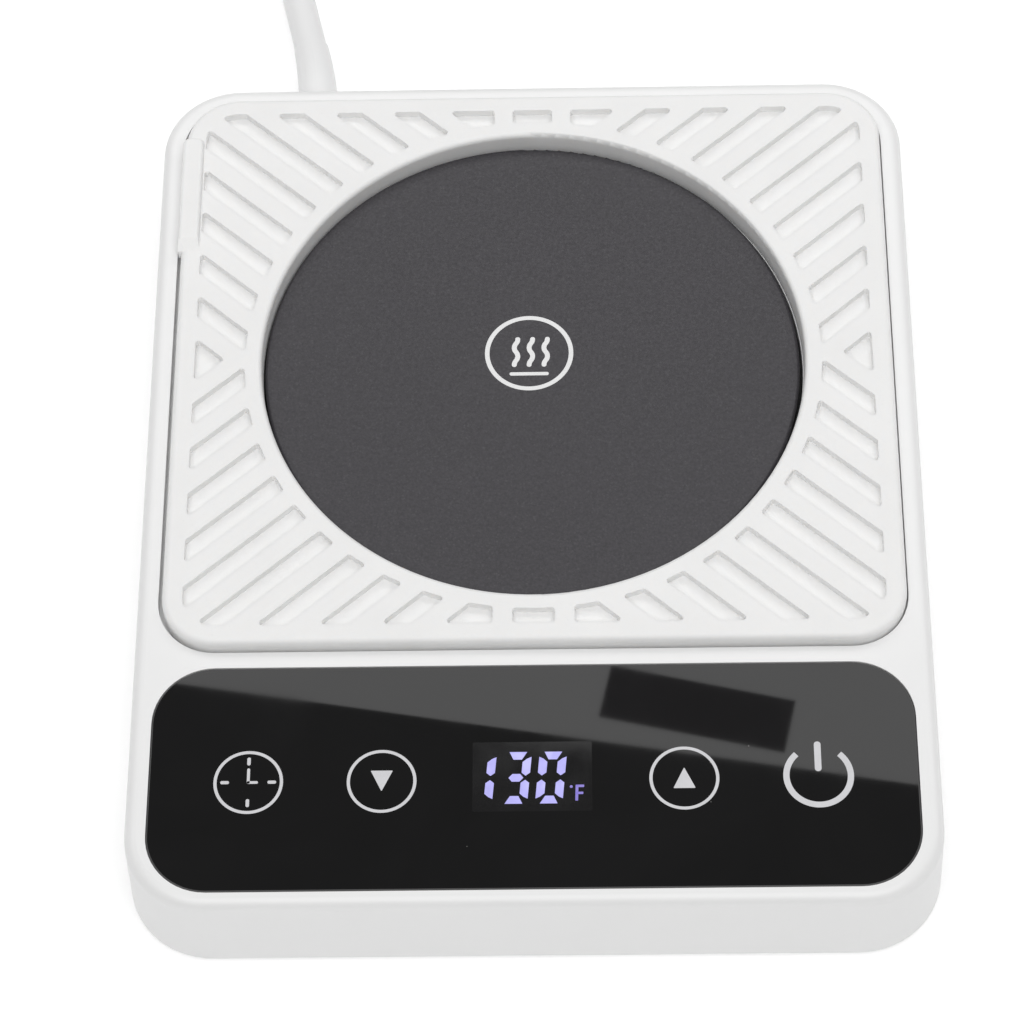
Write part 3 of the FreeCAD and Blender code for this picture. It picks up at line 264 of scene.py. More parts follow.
    def times(self, first: Socket, second: Socket, how: str = "MULTIPLY") -> Socket:
        """Combine two patterns point by point.

        Args:
            first: One pattern.
            second: The other pattern.
            how: The sum to use.

        Returns:
            The combined pattern.
        """
        node = self.nodes.new("ShaderNodeMath")
        node.operation = how
        self.links.new(first, node.inputs[0])
        self.links.new(second, node.inputs[1])
        return node.outputs["Value"]

    def mixed(
        self, share: Socket, first: Colour | Socket, second: Colour | Socket
    ) -> Socket:
        """Mix two colours by a pattern.

        Args:
            share: The pattern, 0 for the first colour and 1 for the second.
            first: Colour, or an earlier mix, where the pattern is 0.
            second: Colour, or an earlier mix, where the pattern is 1.

        Returns:
            The mixed colour.
        """
        node = self.nodes.new("ShaderNodeMix")
        node.data_type = "RGBA"
        self.links.new(share, node.inputs["Factor"])
        for socket, colour in ((node.inputs[6], first), (node.inputs[7], second)):
            if isinstance(colour, tuple):
                socket.default_value = (*colour, 1)
            else:
                self.links.new(colour, socket)
        return node.outputs[2]

    def facing(self, axis: str) -> Socket:
        """Give the part of the surface's direction that points along one axis.

        Args:
            axis: The axis.

        Returns:
            The part, from -1 to 1.
        """
        split = self.nodes.new("ShaderNodeSeparateXYZ")
        self.links.new(self.nodes.new("ShaderNodeTexCoord").outputs["Normal"], split.inputs["Vector"])
        return split.outputs[axis]

    def bump(self, height: Socket, depth: float) -> None:
        """Raise the surface by a pattern, on top of what is raised already.

        Args:
            height: The pattern from 0 to 1.
            depth: How high its highest point stands, in millimetres.
        """
        node = self.nodes.new("ShaderNodeBump")
        node.inputs["Distance"].default_value = depth * MM
        self.links.new(height, node.inputs["Height"])
        if self.surface is not None:
            self.links.new(self.surface, node.inputs["Normal"])
        self.surface = node.outputs["Normal"]
        self.feed("Normal", self.surface)


@dataclass(frozen=True)
class Finish:
    """What every finish has: a name and a main colour."""

    name: str
    colour: Colour

    def tint(self, share: float) -> Colour:
        """Darken or lighten the main colour by a share."""
        return self.colour[0] * share, self.colour[1] * share, self.colour[2] * share

    def paint(self, coat: Shading) -> None:
        """Lay the finish on a fresh material; each kind of finish has its own way.

        Args:
            coat: The material that is being made.
        """
        coat.base(self.colour)

    def make(self) -> bpy.types.Material:
        """Make the finish's material.

        Returns:
            The material.
        """
        coat = Shading(self.name)
        self.paint(coat)
        return coat.material


@dataclass(frozen=True)
class Moulding(Finish):
    """Moulded plastic: a fine spark grain, faint flow clouds and a gloss that wanders a little."""

    gloss: float = 0.35
    grain: float = 0.22
    grain_depth: float = 0.006
    cloud: float = 0.03

    def paint(self, coat: Shading) -> None:
        """Lay flow clouds, painted shade in the mould's pits, a wandering gloss, the mould's grain and a slight
        waviness.

        Args:
            coat: The material that is being made.
        """
        flow = coat.noise(17, detail=3, warp=0.4)
        grain = coat.noise(self.grain, detail=3, rough=0.6)
        pit_shade_specks = coat.cells(self.grain * 2.4)
        dark = self.tint(1 - self.cloud)
        tone = coat.mixed(coat.remap(flow), dark, self.colour)
        fine = coat.remap(grain, 0.35, 0.65)
        # Darker specks at the pits: painted shade in the mould's pits.
        coat.tone(coat.mixed(coat.remap(pit_shade_specks, 0.0, 0.12), self.tint(1 - self.cloud * 2), tone))
        coat.feed("Roughness", coat.remap(fine, 0, 1, self.gloss - 0.04, self.gloss + 0.05))
        coat.bump(coat.noise(9, detail=1), 0.01)
        coat.bump(grain, self.grain_depth)


@dataclass(frozen=True)
class SoftRubber(Finish):
    """Silicone or rubber: matt and slightly velvety, with a powdery grain and clouds of dust."""

    matt: float = 0.62
    velvet: float = 0.25
    grain: float = 0.3
    through: float = 0.1
    reach: float = 1.4

    def paint(self, coat: Shading) -> None:
        """Lay powder and cloud over the colour, and a skin that is softly uneven.

        Args:
            coat: The material that is being made.
        """
        powder = coat.noise(self.grain, detail=4, rough=0.65)
        cloud = coat.noise(11, detail=3)
        tone = coat.mixed(coat.remap(cloud), self.tint(0.975), self.colour)
        coat.tone(coat.mixed(coat.remap(powder, 0.42, 0.24), tone, self.tint(0.94)))
        coat.rough(powder, self.matt - 0.07, self.matt + 0.07)
        coat.fixed(Sheen_Weight=self.velvet, Sheen_Roughness=0.5)
        coat.fixed(Subsurface_Weight=self.through, Subsurface_Radius=(1, 0.97, 0.93), Subsurface_Scale=self.reach * MM)
        coat.bump(coat.noise(3.5, detail=2), 0.012)
        coat.bump(powder, 0.009)


@dataclass(frozen=True)
class WorkedMetal(Finish):
    """Bare metal with fine drawn lines, dulled patches and small marks from handling."""

    gloss: float = 0.3
    lines: Point = (1, 14, 14)
    tarnish: Colour = (0.3, 0.28, 0.25)
    tarnish_share: float = 0.3

    def paint(self, coat: Shading) -> None:
        """Lay the lines, the dulled patches and the marks.

        Args:
            coat: The material that is being made.
        """
        drawn = coat.noise(0.9, detail=4, rough=0.7, at=coat.mapped(self.lines))
        patch = coat.noise(2.6, detail=4, rough=0.6, warp=0.6)
        worn = coat.remap(patch, 0.5, 0.78, 0, self.tarnish_share)
        bright = coat.mixed(coat.remap(drawn), self.tint(0.88), self.colour)
        coat.tone(coat.mixed(worn, bright, self.tarnish))
        coat.rough(drawn, self.gloss - 0.08, self.gloss + 0.12)
        coat.fixed(Metallic=1.0)
        coat.bump(drawn, 0.004)
        coat.bump(coat.cells(0.8), 0.003)


@dataclass(frozen=True)
class PlateCoating(Finish):
    """The hot plate's baked coating: orange peel, a fine speckle, and bare metal on its underside."""

    speckle: Colour = (0.062, 0.06, 0.066)
    matt: float = 0.46

    def paint(self, coat: Shading) -> None:
        """Lay speckle and orange peel, and let the uncoated aluminium show where the surface faces down.

        Args:
            coat: The material that is being made.
        """
        peel = coat.noise(0.62, detail=2, rough=0.5)
        fine = coat.noise(0.44, detail=4, rough=0.75)
        cloud = coat.noise(26, detail=2)
        dots = coat.cells(0.5)
        flake = coat.remap(dots, 0.42, 0.1, 0, 0.8)
        rare = coat.remap(coat.noise(1.1, detail=2), 0.45, 0.62)
        tone = coat.mixed(coat.remap(cloud, 0.35, 0.65), self.tint(0.93), self.tint(1.07))
        grain = coat.mixed(coat.remap(fine, 0.34, 0.66), self.tint(0.72), coat.mixed(fine, tone, self.tint(1.35)))
        baked = coat.mixed(coat.times(flake, rare), grain, self.speckle)
        under = coat.remap(coat.facing("Z"), -0.6, -0.9)
        coat.tone(coat.mixed(under, baked, (0.5, 0.5, 0.49)))
        coat.feed("Metallic", under)
        coat.feed("Roughness", coat.remap(peel, 0.35, 0.65, self.matt - 0.05, self.matt + 0.06))
        coat.bump(peel, 0.02)
        coat.bump(fine, 0.006)


@dataclass(frozen=True)
class PanelGlass(Finish):
    """Black-backed glass: a clean polish with a few specks of dust, and a ground edge."""

    dust: Colour = (0.16, 0.155, 0.15)
    edge: Colour = (0.1, 0.1, 0.1)

    def paint(self, coat: Shading) -> None:
        """Lay specks and a faint haze on the polish, and a paler ground edge all round.

        Args:
            coat: The material that is being made.
        """
        speck = coat.remap(coat.cells(4.6), 0.032, 0.018)
        split = coat.nodes.new("ShaderNodeSeparateColor")
        coat.links.new(coat.cells(4.6, "Color"), split.inputs["Color"])
        speck = coat.times(speck, coat.remap(split.outputs["Red"], 0.62, 0.66))
        haze = coat.noise(24, detail=4, rough=0.55, warp=0.8)
        black = coat.mixed(coat.remap(haze, 0.35, 0.75), self.colour, self.tint(1.5))
        dusty = coat.mixed(speck, black, self.dust)
        ground = coat.remap(coat.facing("Z"), 0.96, 0.8)
        coat.tone(coat.mixed(ground, dusty, self.edge))
        gloss = coat.remap(haze, 0.3, 0.8, 0.012, 0.03)
        coat.feed("Roughness", coat.times(gloss, coat.remap(ground, 0, 1, 0, 0.35), "ADD"))
        coat.fixed(IOR=1.5)
        coat.bump(coat.noise(38, detail=1), 0.004)


@dataclass(frozen=True)
class PrintInk(Finish):
    """Screen-printed ink, satin and a touch uneven where the mesh lets it through."""

    def paint(self, coat: Shading) -> None:
        """Lay the screen's weave faintly over the ink.

        Args:
            coat: The material that is being made.
        """
        weave = coat.times(coat.bands(0.09, "X"), coat.bands(0.09, "Y"))
        cloud = coat.noise(1.6, detail=3)
        tone = coat.mixed(coat.remap(cloud), self.tint(0.94), self.colour)
        coat.tone(coat.mixed(coat.remap(weave, 0.55, 1), tone, self.tint(1.05)))
        coat.rough(cloud, 0.34, 0.44)
        coat.bump(weave, 0.002)


@dataclass(frozen=True)
class LitSegment(Finish):
    """A lit display segment: brighter in its middle, where its lamp sits, than at its ends."""

    strength: float = 1.0

    def paint(self, coat: Shading) -> None:
        """Let the light wander a little over the segments.

        Args:
            coat: The material that is being made.
        """
        spread = coat.noise(1.5, detail=2)
        lamps = coat.noise(2.8, detail=1, warp=0.3)
        calm = coat.mixed(coat.remap(spread), self.tint(0.88), self.colour)
        pale = (self.colour[0] * 1.12, self.colour[1] * 1.14, self.colour[2])
        coat.feed("Emission Color", coat.mixed(coat.remap(lamps, 0.56, 0.72), calm, pale))
        coat.base((0.01, 0.01, 0.012))
        coat.fixed(Emission_Strength=self.strength, Roughness=0.3)
        coat.bump(spread, 0.002)


@dataclass(frozen=True)
class SmokedWindow(Finish):
    """The display's smoked window, a shade paler than the black print round it."""

    def paint(self, coat: Shading) -> None:
        """Lay the faint grid of the unlit lamps behind the window.

        Args:
            coat: The material that is being made.
        """
        grid = coat.times(coat.bands(1.3, "X"), coat.bands(1.4, "Y"))
        haze = coat.noise(5, detail=3)
        tone = coat.mixed(coat.remap(haze), self.colour, self.tint(1.25))
        coat.tone(coat.mixed(coat.remap(grid, 0.5, 1, 0, 0.5), tone, self.tint(0.7)))
        coat.rough(haze, 0.04, 0.08)
        coat.fixed(IOR=1.5)


@dataclass(frozen=True)
class CircuitBoard(Finish):
    """Solder mask over copper: tracks stand up under it, and tinned dots mark where they pass through."""

    track: Colour = (0.07, 0.3, 0.11)
    tin: Colour = (0.62, 0.62, 0.6)

    def paint(self, coat: Shading) -> None:
        """Lay tracks, tinned dots and the board's glass weave.

        Args:
            coat: The material that is being made.
        """
        across = coat.bands(1.7, "X", warp=1.4)
        along = coat.bands(2.3, "Y", warp=1.1)
        tracks = coat.times(coat.remap(across, 0.72, 0.78), coat.remap(along, 0.7, 0.76), "MAXIMUM")
        dots = coat.cells(5.2)
        tinned = coat.remap(dots, 0.115, 0.1)
        weave = coat.times(coat.bands(0.4, "X"), coat.bands(0.4, "Y"), "MAXIMUM")
        mask = coat.mixed(coat.remap(weave, 0.2, 0.9), self.tint(0.85), self.colour)
        coat.tone(coat.mixed(tinned, coat.mixed(tracks, mask, self.track), self.tin))
        coat.feed("Metallic", tinned)
        coat.rough(coat.noise(3, detail=3), 0.26, 0.38)
        coat.bump(tracks, 0.03)
        coat.bump(weave, 0.006)


@dataclass(frozen=True)
class MicaSheet(Finish):
    """Pressed mica: pale flakes in thin layers, with splits along the edge and a few painted glints, lighter colour at
    the flake centres.
    """

    def paint(self, coat: Shading) -> None:
        """Lay flakes, the layers seen edge-on, and the glints, painted as lighter colour at the flake centres.

        Args:
            coat: The material that is being made.
        """
        flakes = coat.cells(1.6, at=coat.mapped((1, 1, 6)))
        layers = coat.bands(0.16, "Z", warp=0.8)
        stain = coat.noise(7, detail=4, warp=0.7)
        tone = coat.mixed(coat.remap(stain), self.tint(0.8), self.colour)
        # Lighter colour at the flake centres: painted glints, a painted highlight.
        flakes_with_painted_glints = coat.mixed(coat.remap(flakes, 0.1, 0.55), self.tint(1.25), tone)
        coat.tone(coat.mixed(coat.remap(layers, 0.7, 1, 0, 0.4), flakes_with_painted_glints, self.tint(0.6)))
        coat.feed("Roughness", coat.remap(flakes, 0, 0.6, 0.28, 0.6))
        coat.bump(flakes, 0.03)
        coat.bump(layers, 0.01)


@dataclass(frozen=True)
class HeaterFoil(Finish):
    """An etched heating track in amber film: rings of foil round the middle of the plate."""

    film: Colour = (0.42, 0.19, 0.04)
    centre_y: float = 19.25

    def paint(self, coat: Shading) -> None:
        """Lay the foil's rings, the film between them, and creases in both, with painted shade darkening the foil in
        the crease hollows.

        Args:
            coat: The material that is being made.
        """
        centred = coat.mapped(shift=(0, -self.centre_y * MM, 0))
        rings = coat.bands(2.6, "Z", rings=True, at=centred)
        foil = coat.remap(rings, 0.42, 0.5)
        crease = coat.noise(6, detail=5, rough=0.6, warp=1.2)
        # The foil is darker where the crease bump is low: painted shade in the creases.
        metal = coat.mixed(coat.remap(crease), self.tint(0.8), self.colour)
        coat.tone(coat.mixed(foil, self.film, metal))
        coat.feed("Metallic", foil)
        coat.rough(crease, 0.22, 0.42)
        coat.bump(foil, 0.03)
        coat.bump(crease, 0.05)


@dataclass(frozen=True)
class WovenSleeve(Finish):
    """A woven glass sleeve: two sets of pale strands that cross, with loose ends between them."""

    strand: float = 0.34

    def paint(self, coat: Shading) -> None:
        """Lay both sets of strands and the dark gaps where they cross, the gaps being painted shade between the
        strands.

        Args:
            coat: The material that is being made.
        """
        one = coat.bands(self.strand, "X", at=coat.mapped(turn=(20, 35, 45)))
        other = coat.bands(self.strand, "X", at=coat.mapped(turn=(-20, -35, -45)))
        woven = coat.times(one, other, "MAXIMUM")
        fuzz = coat.noise(0.3, detail=4, rough=0.7)
        tone = coat.mixed(coat.remap(fuzz, 0.35, 0.65), self.tint(0.86), self.colour)
        # Dark where both strands are low: painted shade in the gaps between the strands.
        coat.tone(coat.mixed(coat.remap(woven, 0.3, 0.75), self.tint(0.5), tone))
        coat.rough(fuzz, 0.6, 0.8)
        coat.bump(woven, 0.07)
        coat.bump(fuzz, 0.02)


@dataclass(frozen=True)
class FoamTape(Finish):
    """Foam tape: open cells cut through at the edge, dull all over."""

    def paint(self, coat: Shading) -> None:
        """Lay large and small cells, the open cells painted darker as painted shade in them.

        Args:
            coat: The material that is being made.
        """
        large = coat.cells(0.35)
        small = coat.cells(0.16)
        pores = coat.times(coat.remap(large, 0.1, 0.5), coat.remap(small, 0.1, 0.5))
        # The open cells are painted dark: painted shade inside the cells.
        coat.tone(coat.mixed(pores, self.tint(0.4), self.tint(1.3)))
        coat.feed("Roughness", coat.remap(pores, 0, 1, 0.75, 0.92))
        coat.bump(pores, 0.05)


@dataclass(frozen=True)
class FuseBody(Finish):
    """A cartridge fuse: a glass body between two nickel caps, told apart by the place along its length."""

    glass: Colour = (0.62, 0.68, 0.66)

    def paint(self, coat: Shading) -> None:
        """Lay a brushed nickel with pale, glassy bands.

        Args:
            coat: The material that is being made.
        """
        drawn = coat.noise(0.5, detail=4, rough=0.7, at=coat.mapped((10, 1, 10)))
        bands = coat.remap(coat.bands(5.0, "X", warp=0.2), 0.45, 0.55)
        nickel = coat.mixed(coat.remap(drawn), self.tint(0.85), self.colour)
        coat.tone(coat.mixed(bands, nickel, self.glass))
        coat.feed("Metallic", coat.remap(bands, 0, 1, 1, 0.1))
        coat.rough(drawn, 0.16, 0.3)
        coat.bump(drawn, 0.004)


@dataclass(frozen=True)
class PaleFloor(Finish):
    """The studio's pale floor, lit a little from within, so that the object throws almost no shadow on it."""

    glow: float = 0.246

    def paint(self, coat: Shading) -> None:
        """Lay a matt, almost even white.

        Args:
            coat: The material that is being made.
        """
        paper = coat.noise(60, detail=3)
        coat.tone(coat.mixed(coat.remap(paper), self.tint(0.99), self.colour))
        coat.fixed(Roughness=0.9, Specular_IOR_Level=0.1, Emission_Color=(1, 1, 1, 1), Emission_Strength=self.glow)


class FinishShelf:
    """All the finishes of the object, one for each material slot of the record and a few for the prints."""

    def __init__(self) -> None:
        """List the finishes and keep the materials that are made from them."""
        self.by_slot: dict[str, Finish] = {
            "housing": Moulding("white_housing", (0.86, 0.86, 0.858), gloss=0.36, grain_depth=0.003, cloud=0.012),
            "cover": Moulding("matt_white_cover", (0.8, 0.8, 0.795), gloss=0.55, grain=0.35, grain_depth=0.016),
            "foot_rubber": SoftRubber("grey_foot_rubber", (0.5, 0.5, 0.49), matt=0.7),
            "screw_steel": WorkedMetal("zinc_screw_steel", (0.72, 0.73, 0.74), gloss=0.3, lines=(4, 4, 12)),
            "panel_glass": PanelGlass("black_panel_glass", (0.0035, 0.0034, 0.0036)),
            "bond_tape": FoamTape("black_foam_tape", (0.06, 0.06, 0.06)),
            "circuit_board": CircuitBoard("green_circuit_board", (0.02, 0.17, 0.05)),
            "display_case": Moulding("grey_display_case", (0.045, 0.045, 0.05), gloss=0.5, grain_depth=0.012),
            "spring_steel": WorkedMetal("drawn_spring_steel", (0.66, 0.67, 0.68), gloss=0.26, lines=(2, 2, 9)),
            "black_plastic": Moulding(
                "dull_black_plastic", (0.018, 0.018, 0.019), gloss=0.52, grain_depth=0.014, cloud=0.15
            ),
            "green_plastic": Moulding("green_terminal_plastic", (0.03, 0.3, 0.08), gloss=0.42, cloud=0.08),
            "fuse_metal": FuseBody("nickel_fuse", (0.74, 0.73, 0.7)),
            "capacitor_case": Moulding("yellow_capacitor_case", (0.72, 0.42, 0.02), gloss=0.25, cloud=0.08),
            "capacitor_can": WorkedMetal("capacitor_can_metal", (0.7, 0.71, 0.73), gloss=0.24, lines=(9, 9, 1)),
            "brass": WorkedMetal("bright_brass", (0.78, 0.57, 0.25), gloss=0.26, tarnish=(0.32, 0.19, 0.07)),
            "wire_cover": Moulding("blue_wire_cover", (0.02, 0.07, 0.34), gloss=0.38, grain=0.3, cloud=0.1),
            "heat_sleeve": WovenSleeve("woven_heat_sleeve", (0.74, 0.72, 0.66)),
            "cord_cover": Moulding("white_cord_cover", (0.84, 0.84, 0.84), gloss=0.42, grain=0.3, cloud=0.02),
            "tie_rubber": SoftRubber("white_tie_rubber", (0.74, 0.74, 0.73), matt=0.6),
            "plate_coating": PlateCoating("dark_plate_coating", (0.038, 0.0352, 0.041)),
            "heater_foil": HeaterFoil("etched_heater_foil", (0.66, 0.64, 0.6)),
            "mica": MicaSheet("pressed_mica", (0.5, 0.42, 0.28)),
            "sheet_steel": WorkedMetal("plain_sheet_steel", (0.66, 0.67, 0.68), gloss=0.34, lines=(1, 12, 12)),
            "silicone": SoftRubber("white_silicone", (0.875, 0.873, 0.868), matt=0.58, velvet=0.15, through=0.55),
        }
        self.prints: dict[str, Finish] = {
            "panel_ink": PrintInk("pale_panel_ink", (0.66, 0.66, 0.68)),
            "plate_ink": PrintInk("white_plate_ink", (0.82, 0.82, 0.82)),
            "digit_light": LitSegment("violet_digit_light", srgb(188, 184, 254)),
            "unit_light": LitSegment("dim_unit_light", srgb(139, 126, 214)),
            "window": SmokedWindow("smoked_display_window", (0.007, 0.0068, 0.0072)),
        }
        self.made: dict[str, bpy.types.Material] = {}

    def get(self, name: str) -> bpy.types.Material:
        """Give the material for a slot or print, made at its first use.

        Args:
            name: The slot's or the print's name.

        Returns:
            The material.
        """
        if name not in self.made:
            self.made[name] = (self.by_slot.get(name) or self.prints[name]).make()
        return self.made[name]

    def dress(self, piece: bpy.types.Object, name: str) -> None:
        """Put a material in every slot of a piece.

        Args:
            piece: The piece.
            name: The slot's or the print's name.
        """
        if not piece.material_slots:
            piece.data.materials.append(self.get(name))
        for place in piece.material_slots:
            place.material = self.get(name)


def sheet(width: float, depth: float, columns: int = 1, rows: int = 1) -> Shape:
    """Start a bmesh with one level sheet round the origin.

    Args:
        width: Its size along X.
        depth: Its size along Y.
        columns: How many faces it has along X.
        rows: How many faces it has along Y.

    Returns:
        The bmesh.
    """
    shape = bmesh.new()
    bmesh.ops.create_grid(shape, x_segments=columns, y_segments=rows, size=0.5)
    bmesh.ops.scale(shape, vec=(width, depth, 1), verts=shape.verts)
    return shape


def rounded(shape: Shape, geom: list, ease: float, steps: int, affect: str = "VERTICES") -> None:
    """Round corners or edges off.

    Args:
        shape: The bmesh.
        geom: Its corners or edges.
        ease: How far back the rounding starts.
        steps: How many steps it takes.
        affect: Whether corners or edges are rounded.
    """
    bmesh.ops.bevel(
        shape,
        geom=geom,
        offset=ease,
        offset_type="OFFSET",
        segments=steps,
        profile=0.5,
        affect=affect,
        clamp_overlap=affect == "EDGES",
        material=-1,
    )


def settled(name: str, mesh_source: Shape) -> bpy.types.Object:
    """Turn a finished bmesh in metres into an object at the origin.

    Args:
        name: The piece's name.
        mesh_source: The bmesh, which is freed.

    Returns:
        The new object, linked to the scene.
    """
    mesh = bpy.data.meshes.new(name)
    mesh_source.to_mesh(mesh)
    mesh_source.free()
    piece = bpy.data.objects.new(name, mesh)
    bpy.context.scene.collection.objects.link(piece)
    return piece


class FlatArt:
    """Thin flat shapes for prints and display segments, drawn in millimetres and made solid at the end."""

    def __init__(self) -> None:
        """Start with an empty drawing."""
        self.drawing = bmesh.new()

    def take(self, shape: Shape, place: Matrix) -> None:
        """Move a shape to its place and add it to the drawing.

        Args:
            shape: The shape, which is freed.
            place: Where it goes.
        """
        bmesh.ops.transform(shape, matrix=place, verts=shape.verts)
        mesh = bpy.data.meshes.new("shape")
        shape.to_mesh(mesh)
        shape.free()
        self.drawing.from_mesh(mesh)
        bpy.data.meshes.remove(mesh)

    def bar(self, centre: Place, size: Place, corner: float, turn: float = 0) -> None:
        """Draw a bar with rounded corners.

        Args:
            centre: Its middle.
            size: Its length and width.
            corner: Radius of its corners.
            turn: Its turn in degrees.
        """
        shape = sheet(*size)
        rounded(shape, shape.verts[:], corner, 6)
        self.take(shape, Matrix.Translation((*centre, 0)) @ Matrix.Rotation(math.radians(turn), 4, "Z"))

    def triangle(self, centre: Place, width: float, height: float, corner: float, upward: bool) -> None:
        """Draw a triangle on a level side.

        Args:
            centre: Middle of its width and height.
            width: Length of its level side.
            height: Height above that side.
            corner: How far its corners are rounded back.
            upward: Whether its point is up.
        """
        shape = bmesh.new()
        bmesh.ops.create_circle(shape, cap_ends=True, segments=3, radius=1)
        lowest = min(vertex.co.y for vertex in shape.verts)
        highest = max(vertex.co.y for vertex in shape.verts)
        bmesh.ops.translate(shape, vec=(0, -(lowest + highest) / 2, 0), verts=shape.verts)
        if (sum(vertex.co.y for vertex in shape.verts) < 0) != upward:
            bmesh.ops.rotate(shape, cent=(0, 0, 0), matrix=Matrix.Rotation(math.pi, 3, "Z"), verts=shape.verts)
        bmesh.ops.scale(shape, vec=(width / math.sqrt(3), height / 1.5, 1), verts=shape.verts)
        rounded(shape, shape.verts[:], corner, 3)
        self.take(shape, Matrix.Translation((*centre, 0)))

    def ring(self, centre: Place, radius: float, width: float, steps: int = 72) -> None:
        """Draw a closed ring.

        Args:
            centre: Its middle.
            radius: Radius of its outer edge.
            width: Width of its line.
            steps: How many steps it takes round.
        """
        shape = bmesh.new()
        inner = shape.verts.new((radius - width, 0, 0))
        outer = shape.verts.new((radius, 0, 0))
        edge = shape.edges.new((inner, outer))
        bmesh.ops.spin(
            shape, geom=[inner, outer, edge], cent=(0, 0, 0), axis=(0, 0, 1), angle=2 * math.pi, steps=steps, use_merge=True
        )
        self.take(shape, Matrix.Translation((*centre, 0)))

    def stroke(
        self, start: Place, heading: float, width: float, moves: list[tuple[Turn, float, float]], lead: float
    ) -> None:
        """Draw a line of even width with round ends, made of arcs that run into each other.

        Args:
            start: Where it starts.
            heading: Which way it sets out, in degrees from +X.
            width: Width of the line.
            moves: For each arc its side, its radius and its angle in degrees.
            lead: Length of the short straight run at each end.
        """
        shape = bmesh.new()
        sides = [shape.verts.new((0, width / 2, 0)), shape.verts.new((0, -width / 2, 0))]
        front: list = [*sides, shape.edges.new(sides)]
        front = self.run_on(shape, front, 0, lead)
        at, way = Vector((lead, 0)), 0.0
        for turn, radius, angle in moves:
            side = Vector((-math.sin(way), math.cos(way))) * radius * turn.value
            centre = at + side
            swing = math.radians(angle) * turn.value
            steps = max(3, round(angle / 5))
            spun = bmesh.ops.spin(
                shape, geom=front, cent=(*centre, 0), axis=(0, 0, 1), angle=swing, steps=steps, use_merge=False
            )
            front = spun["geom_last"]
            at = centre - Matrix.Rotation(swing, 2) @ side
            way += swing
        self.run_on(shape, front, way, lead)
        bmesh.ops.remove_doubles(shape, verts=shape.verts, dist=0.001)
        ends = [vertex for vertex in shape.verts if len(vertex.link_faces) == 1]
        rounded(shape, ends, width * 0.48, 6)
        self.take(shape, Matrix.Translation((*start, 0)) @ Matrix.Rotation(math.radians(heading), 4, "Z"))

    def run_on(self, shape: Shape, front: list, way: float, length: float) -> list:
        """Carry a stroke's front edge straight on.

        Args:
            shape: The stroke's bmesh.
            front: Its front edge with both ends.
            way: Its heading in radians.
            length: How far it goes.

        Returns:
            The new front edge with both ends.
        """
        edges = [part for part in front if isinstance(part, bmesh.types.BMEdge)]
        drawn = bmesh.ops.extrude_edge_only(shape, edges=edges)["geom"]
        tips = [part for part in drawn if isinstance(part, bmesh.types.BMVert)]
        bmesh.ops.translate(shape, vec=(math.cos(way) * length, math.sin(way) * length, 0), verts=tips)
        return [part for part in drawn if not isinstance(part, bmesh.types.BMFace)]

    def solid(self, name: str, low: float, high: float, lean: float = 0, about: float = 0) -> bpy.types.Object:
        """Give the drawing its thickness and place it at its height.

        Args:
            name: The piece's name.
            low: Height of its underside in millimetres.
            high: Height of its face in millimetres.
            lean: Sideways lean of upright strokes, as a share of their height.
            about: The y that the lean leaves in place.

        Returns:
            The finished object.
        """
        shape = self.drawing
        bmesh.ops.recalc_face_normals(shape, faces=shape.faces)
        bmesh.ops.reverse_faces(shape, faces=[face for face in shape.faces if face.normal.z < 0])
        if lean:
            slant = Matrix.Identity(4)
            slant[0][1] = lean
            slant[0][3] = -lean * about
            bmesh.ops.transform(shape, matrix=slant, verts=shape.verts)
        bmesh.ops.solidify(shape, geom=shape.faces[:], thickness=high - low)
        bottom = min(vertex.co.z for vertex in shape.verts)
        bmesh.ops.translate(shape, vec=(0, 0, low - bottom), verts=shape.verts)
        bmesh.ops.scale(shape, vec=(MM, MM, MM), verts=shape.verts)
        bmesh.ops.recalc_face_normals(shape, faces=shape.faces)
        return settled(name, shape)


@dataclass(frozen=True)
class SoftenedNode:
    """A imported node's shape with its sharp edges eased, as its mould leaves them, in millimetres."""

    node: str
    piece: str
    slot: str
    body: Body
    ease: float = 0.3
    steps: int = 3
    flat: float = 0.8
    sharp: float = 34.0
    shaded_sharp: float = 42.0
    hole_at: Place = (0.2, 19.25)
    hole_radius: float = 44.0

    def by_hole(self, edge: bmesh.types.BMEdge) -> bool:
        """Tell whether an edge runs round the plate's hole."""
        return all((end.co.xy - Vector(self.hole_at) * MM).length < self.hole_radius * MM for end in edge.verts)

    def build(self, frame: dict, shelf: FinishShelf) -> bpy.types.Object:
        """Copy the node, join its loose triangles into faces and ease the edges between them.

        Args:
            frame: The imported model.
            shelf: Where its finish is.

        Returns:
            The piece that stands for the node.
        """
        shape = bmesh.new()
        shape.from_mesh(frame["nodes"][self.node].data)
        bmesh.ops.remove_doubles(shape, verts=shape.verts, dist=0.002 * MM)
        flat = math.radians(self.flat)
        bmesh.ops.dissolve_limit(shape, angle_limit=flat, verts=shape.verts, edges=shape.edges, delimit=set())
        limit = math.radians(self.sharp)
        sharp = [edge for edge in shape.edges if edge.is_manifold and edge.calc_face_angle(0) > limit]
        rounded(shape, [edge for edge in sharp if not self.by_hole(edge)], self.ease * MM, self.steps, "EDGES")
        for face in shape.faces:
            face.smooth = True
        piece = settled(self.piece, shape)
        piece.data.set_sharp_from_angle(angle=math.radians(self.shaded_sharp))
        weigh = piece.modifiers.new("even_shading", "WEIGHTED_NORMAL")
        weigh.keep_sharp = True
        weigh.weight = 80
        piece.data.materials.clear()
        shelf.dress(piece, self.slot)
        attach(piece, self.body.value)
        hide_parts(self.node)
        return piece


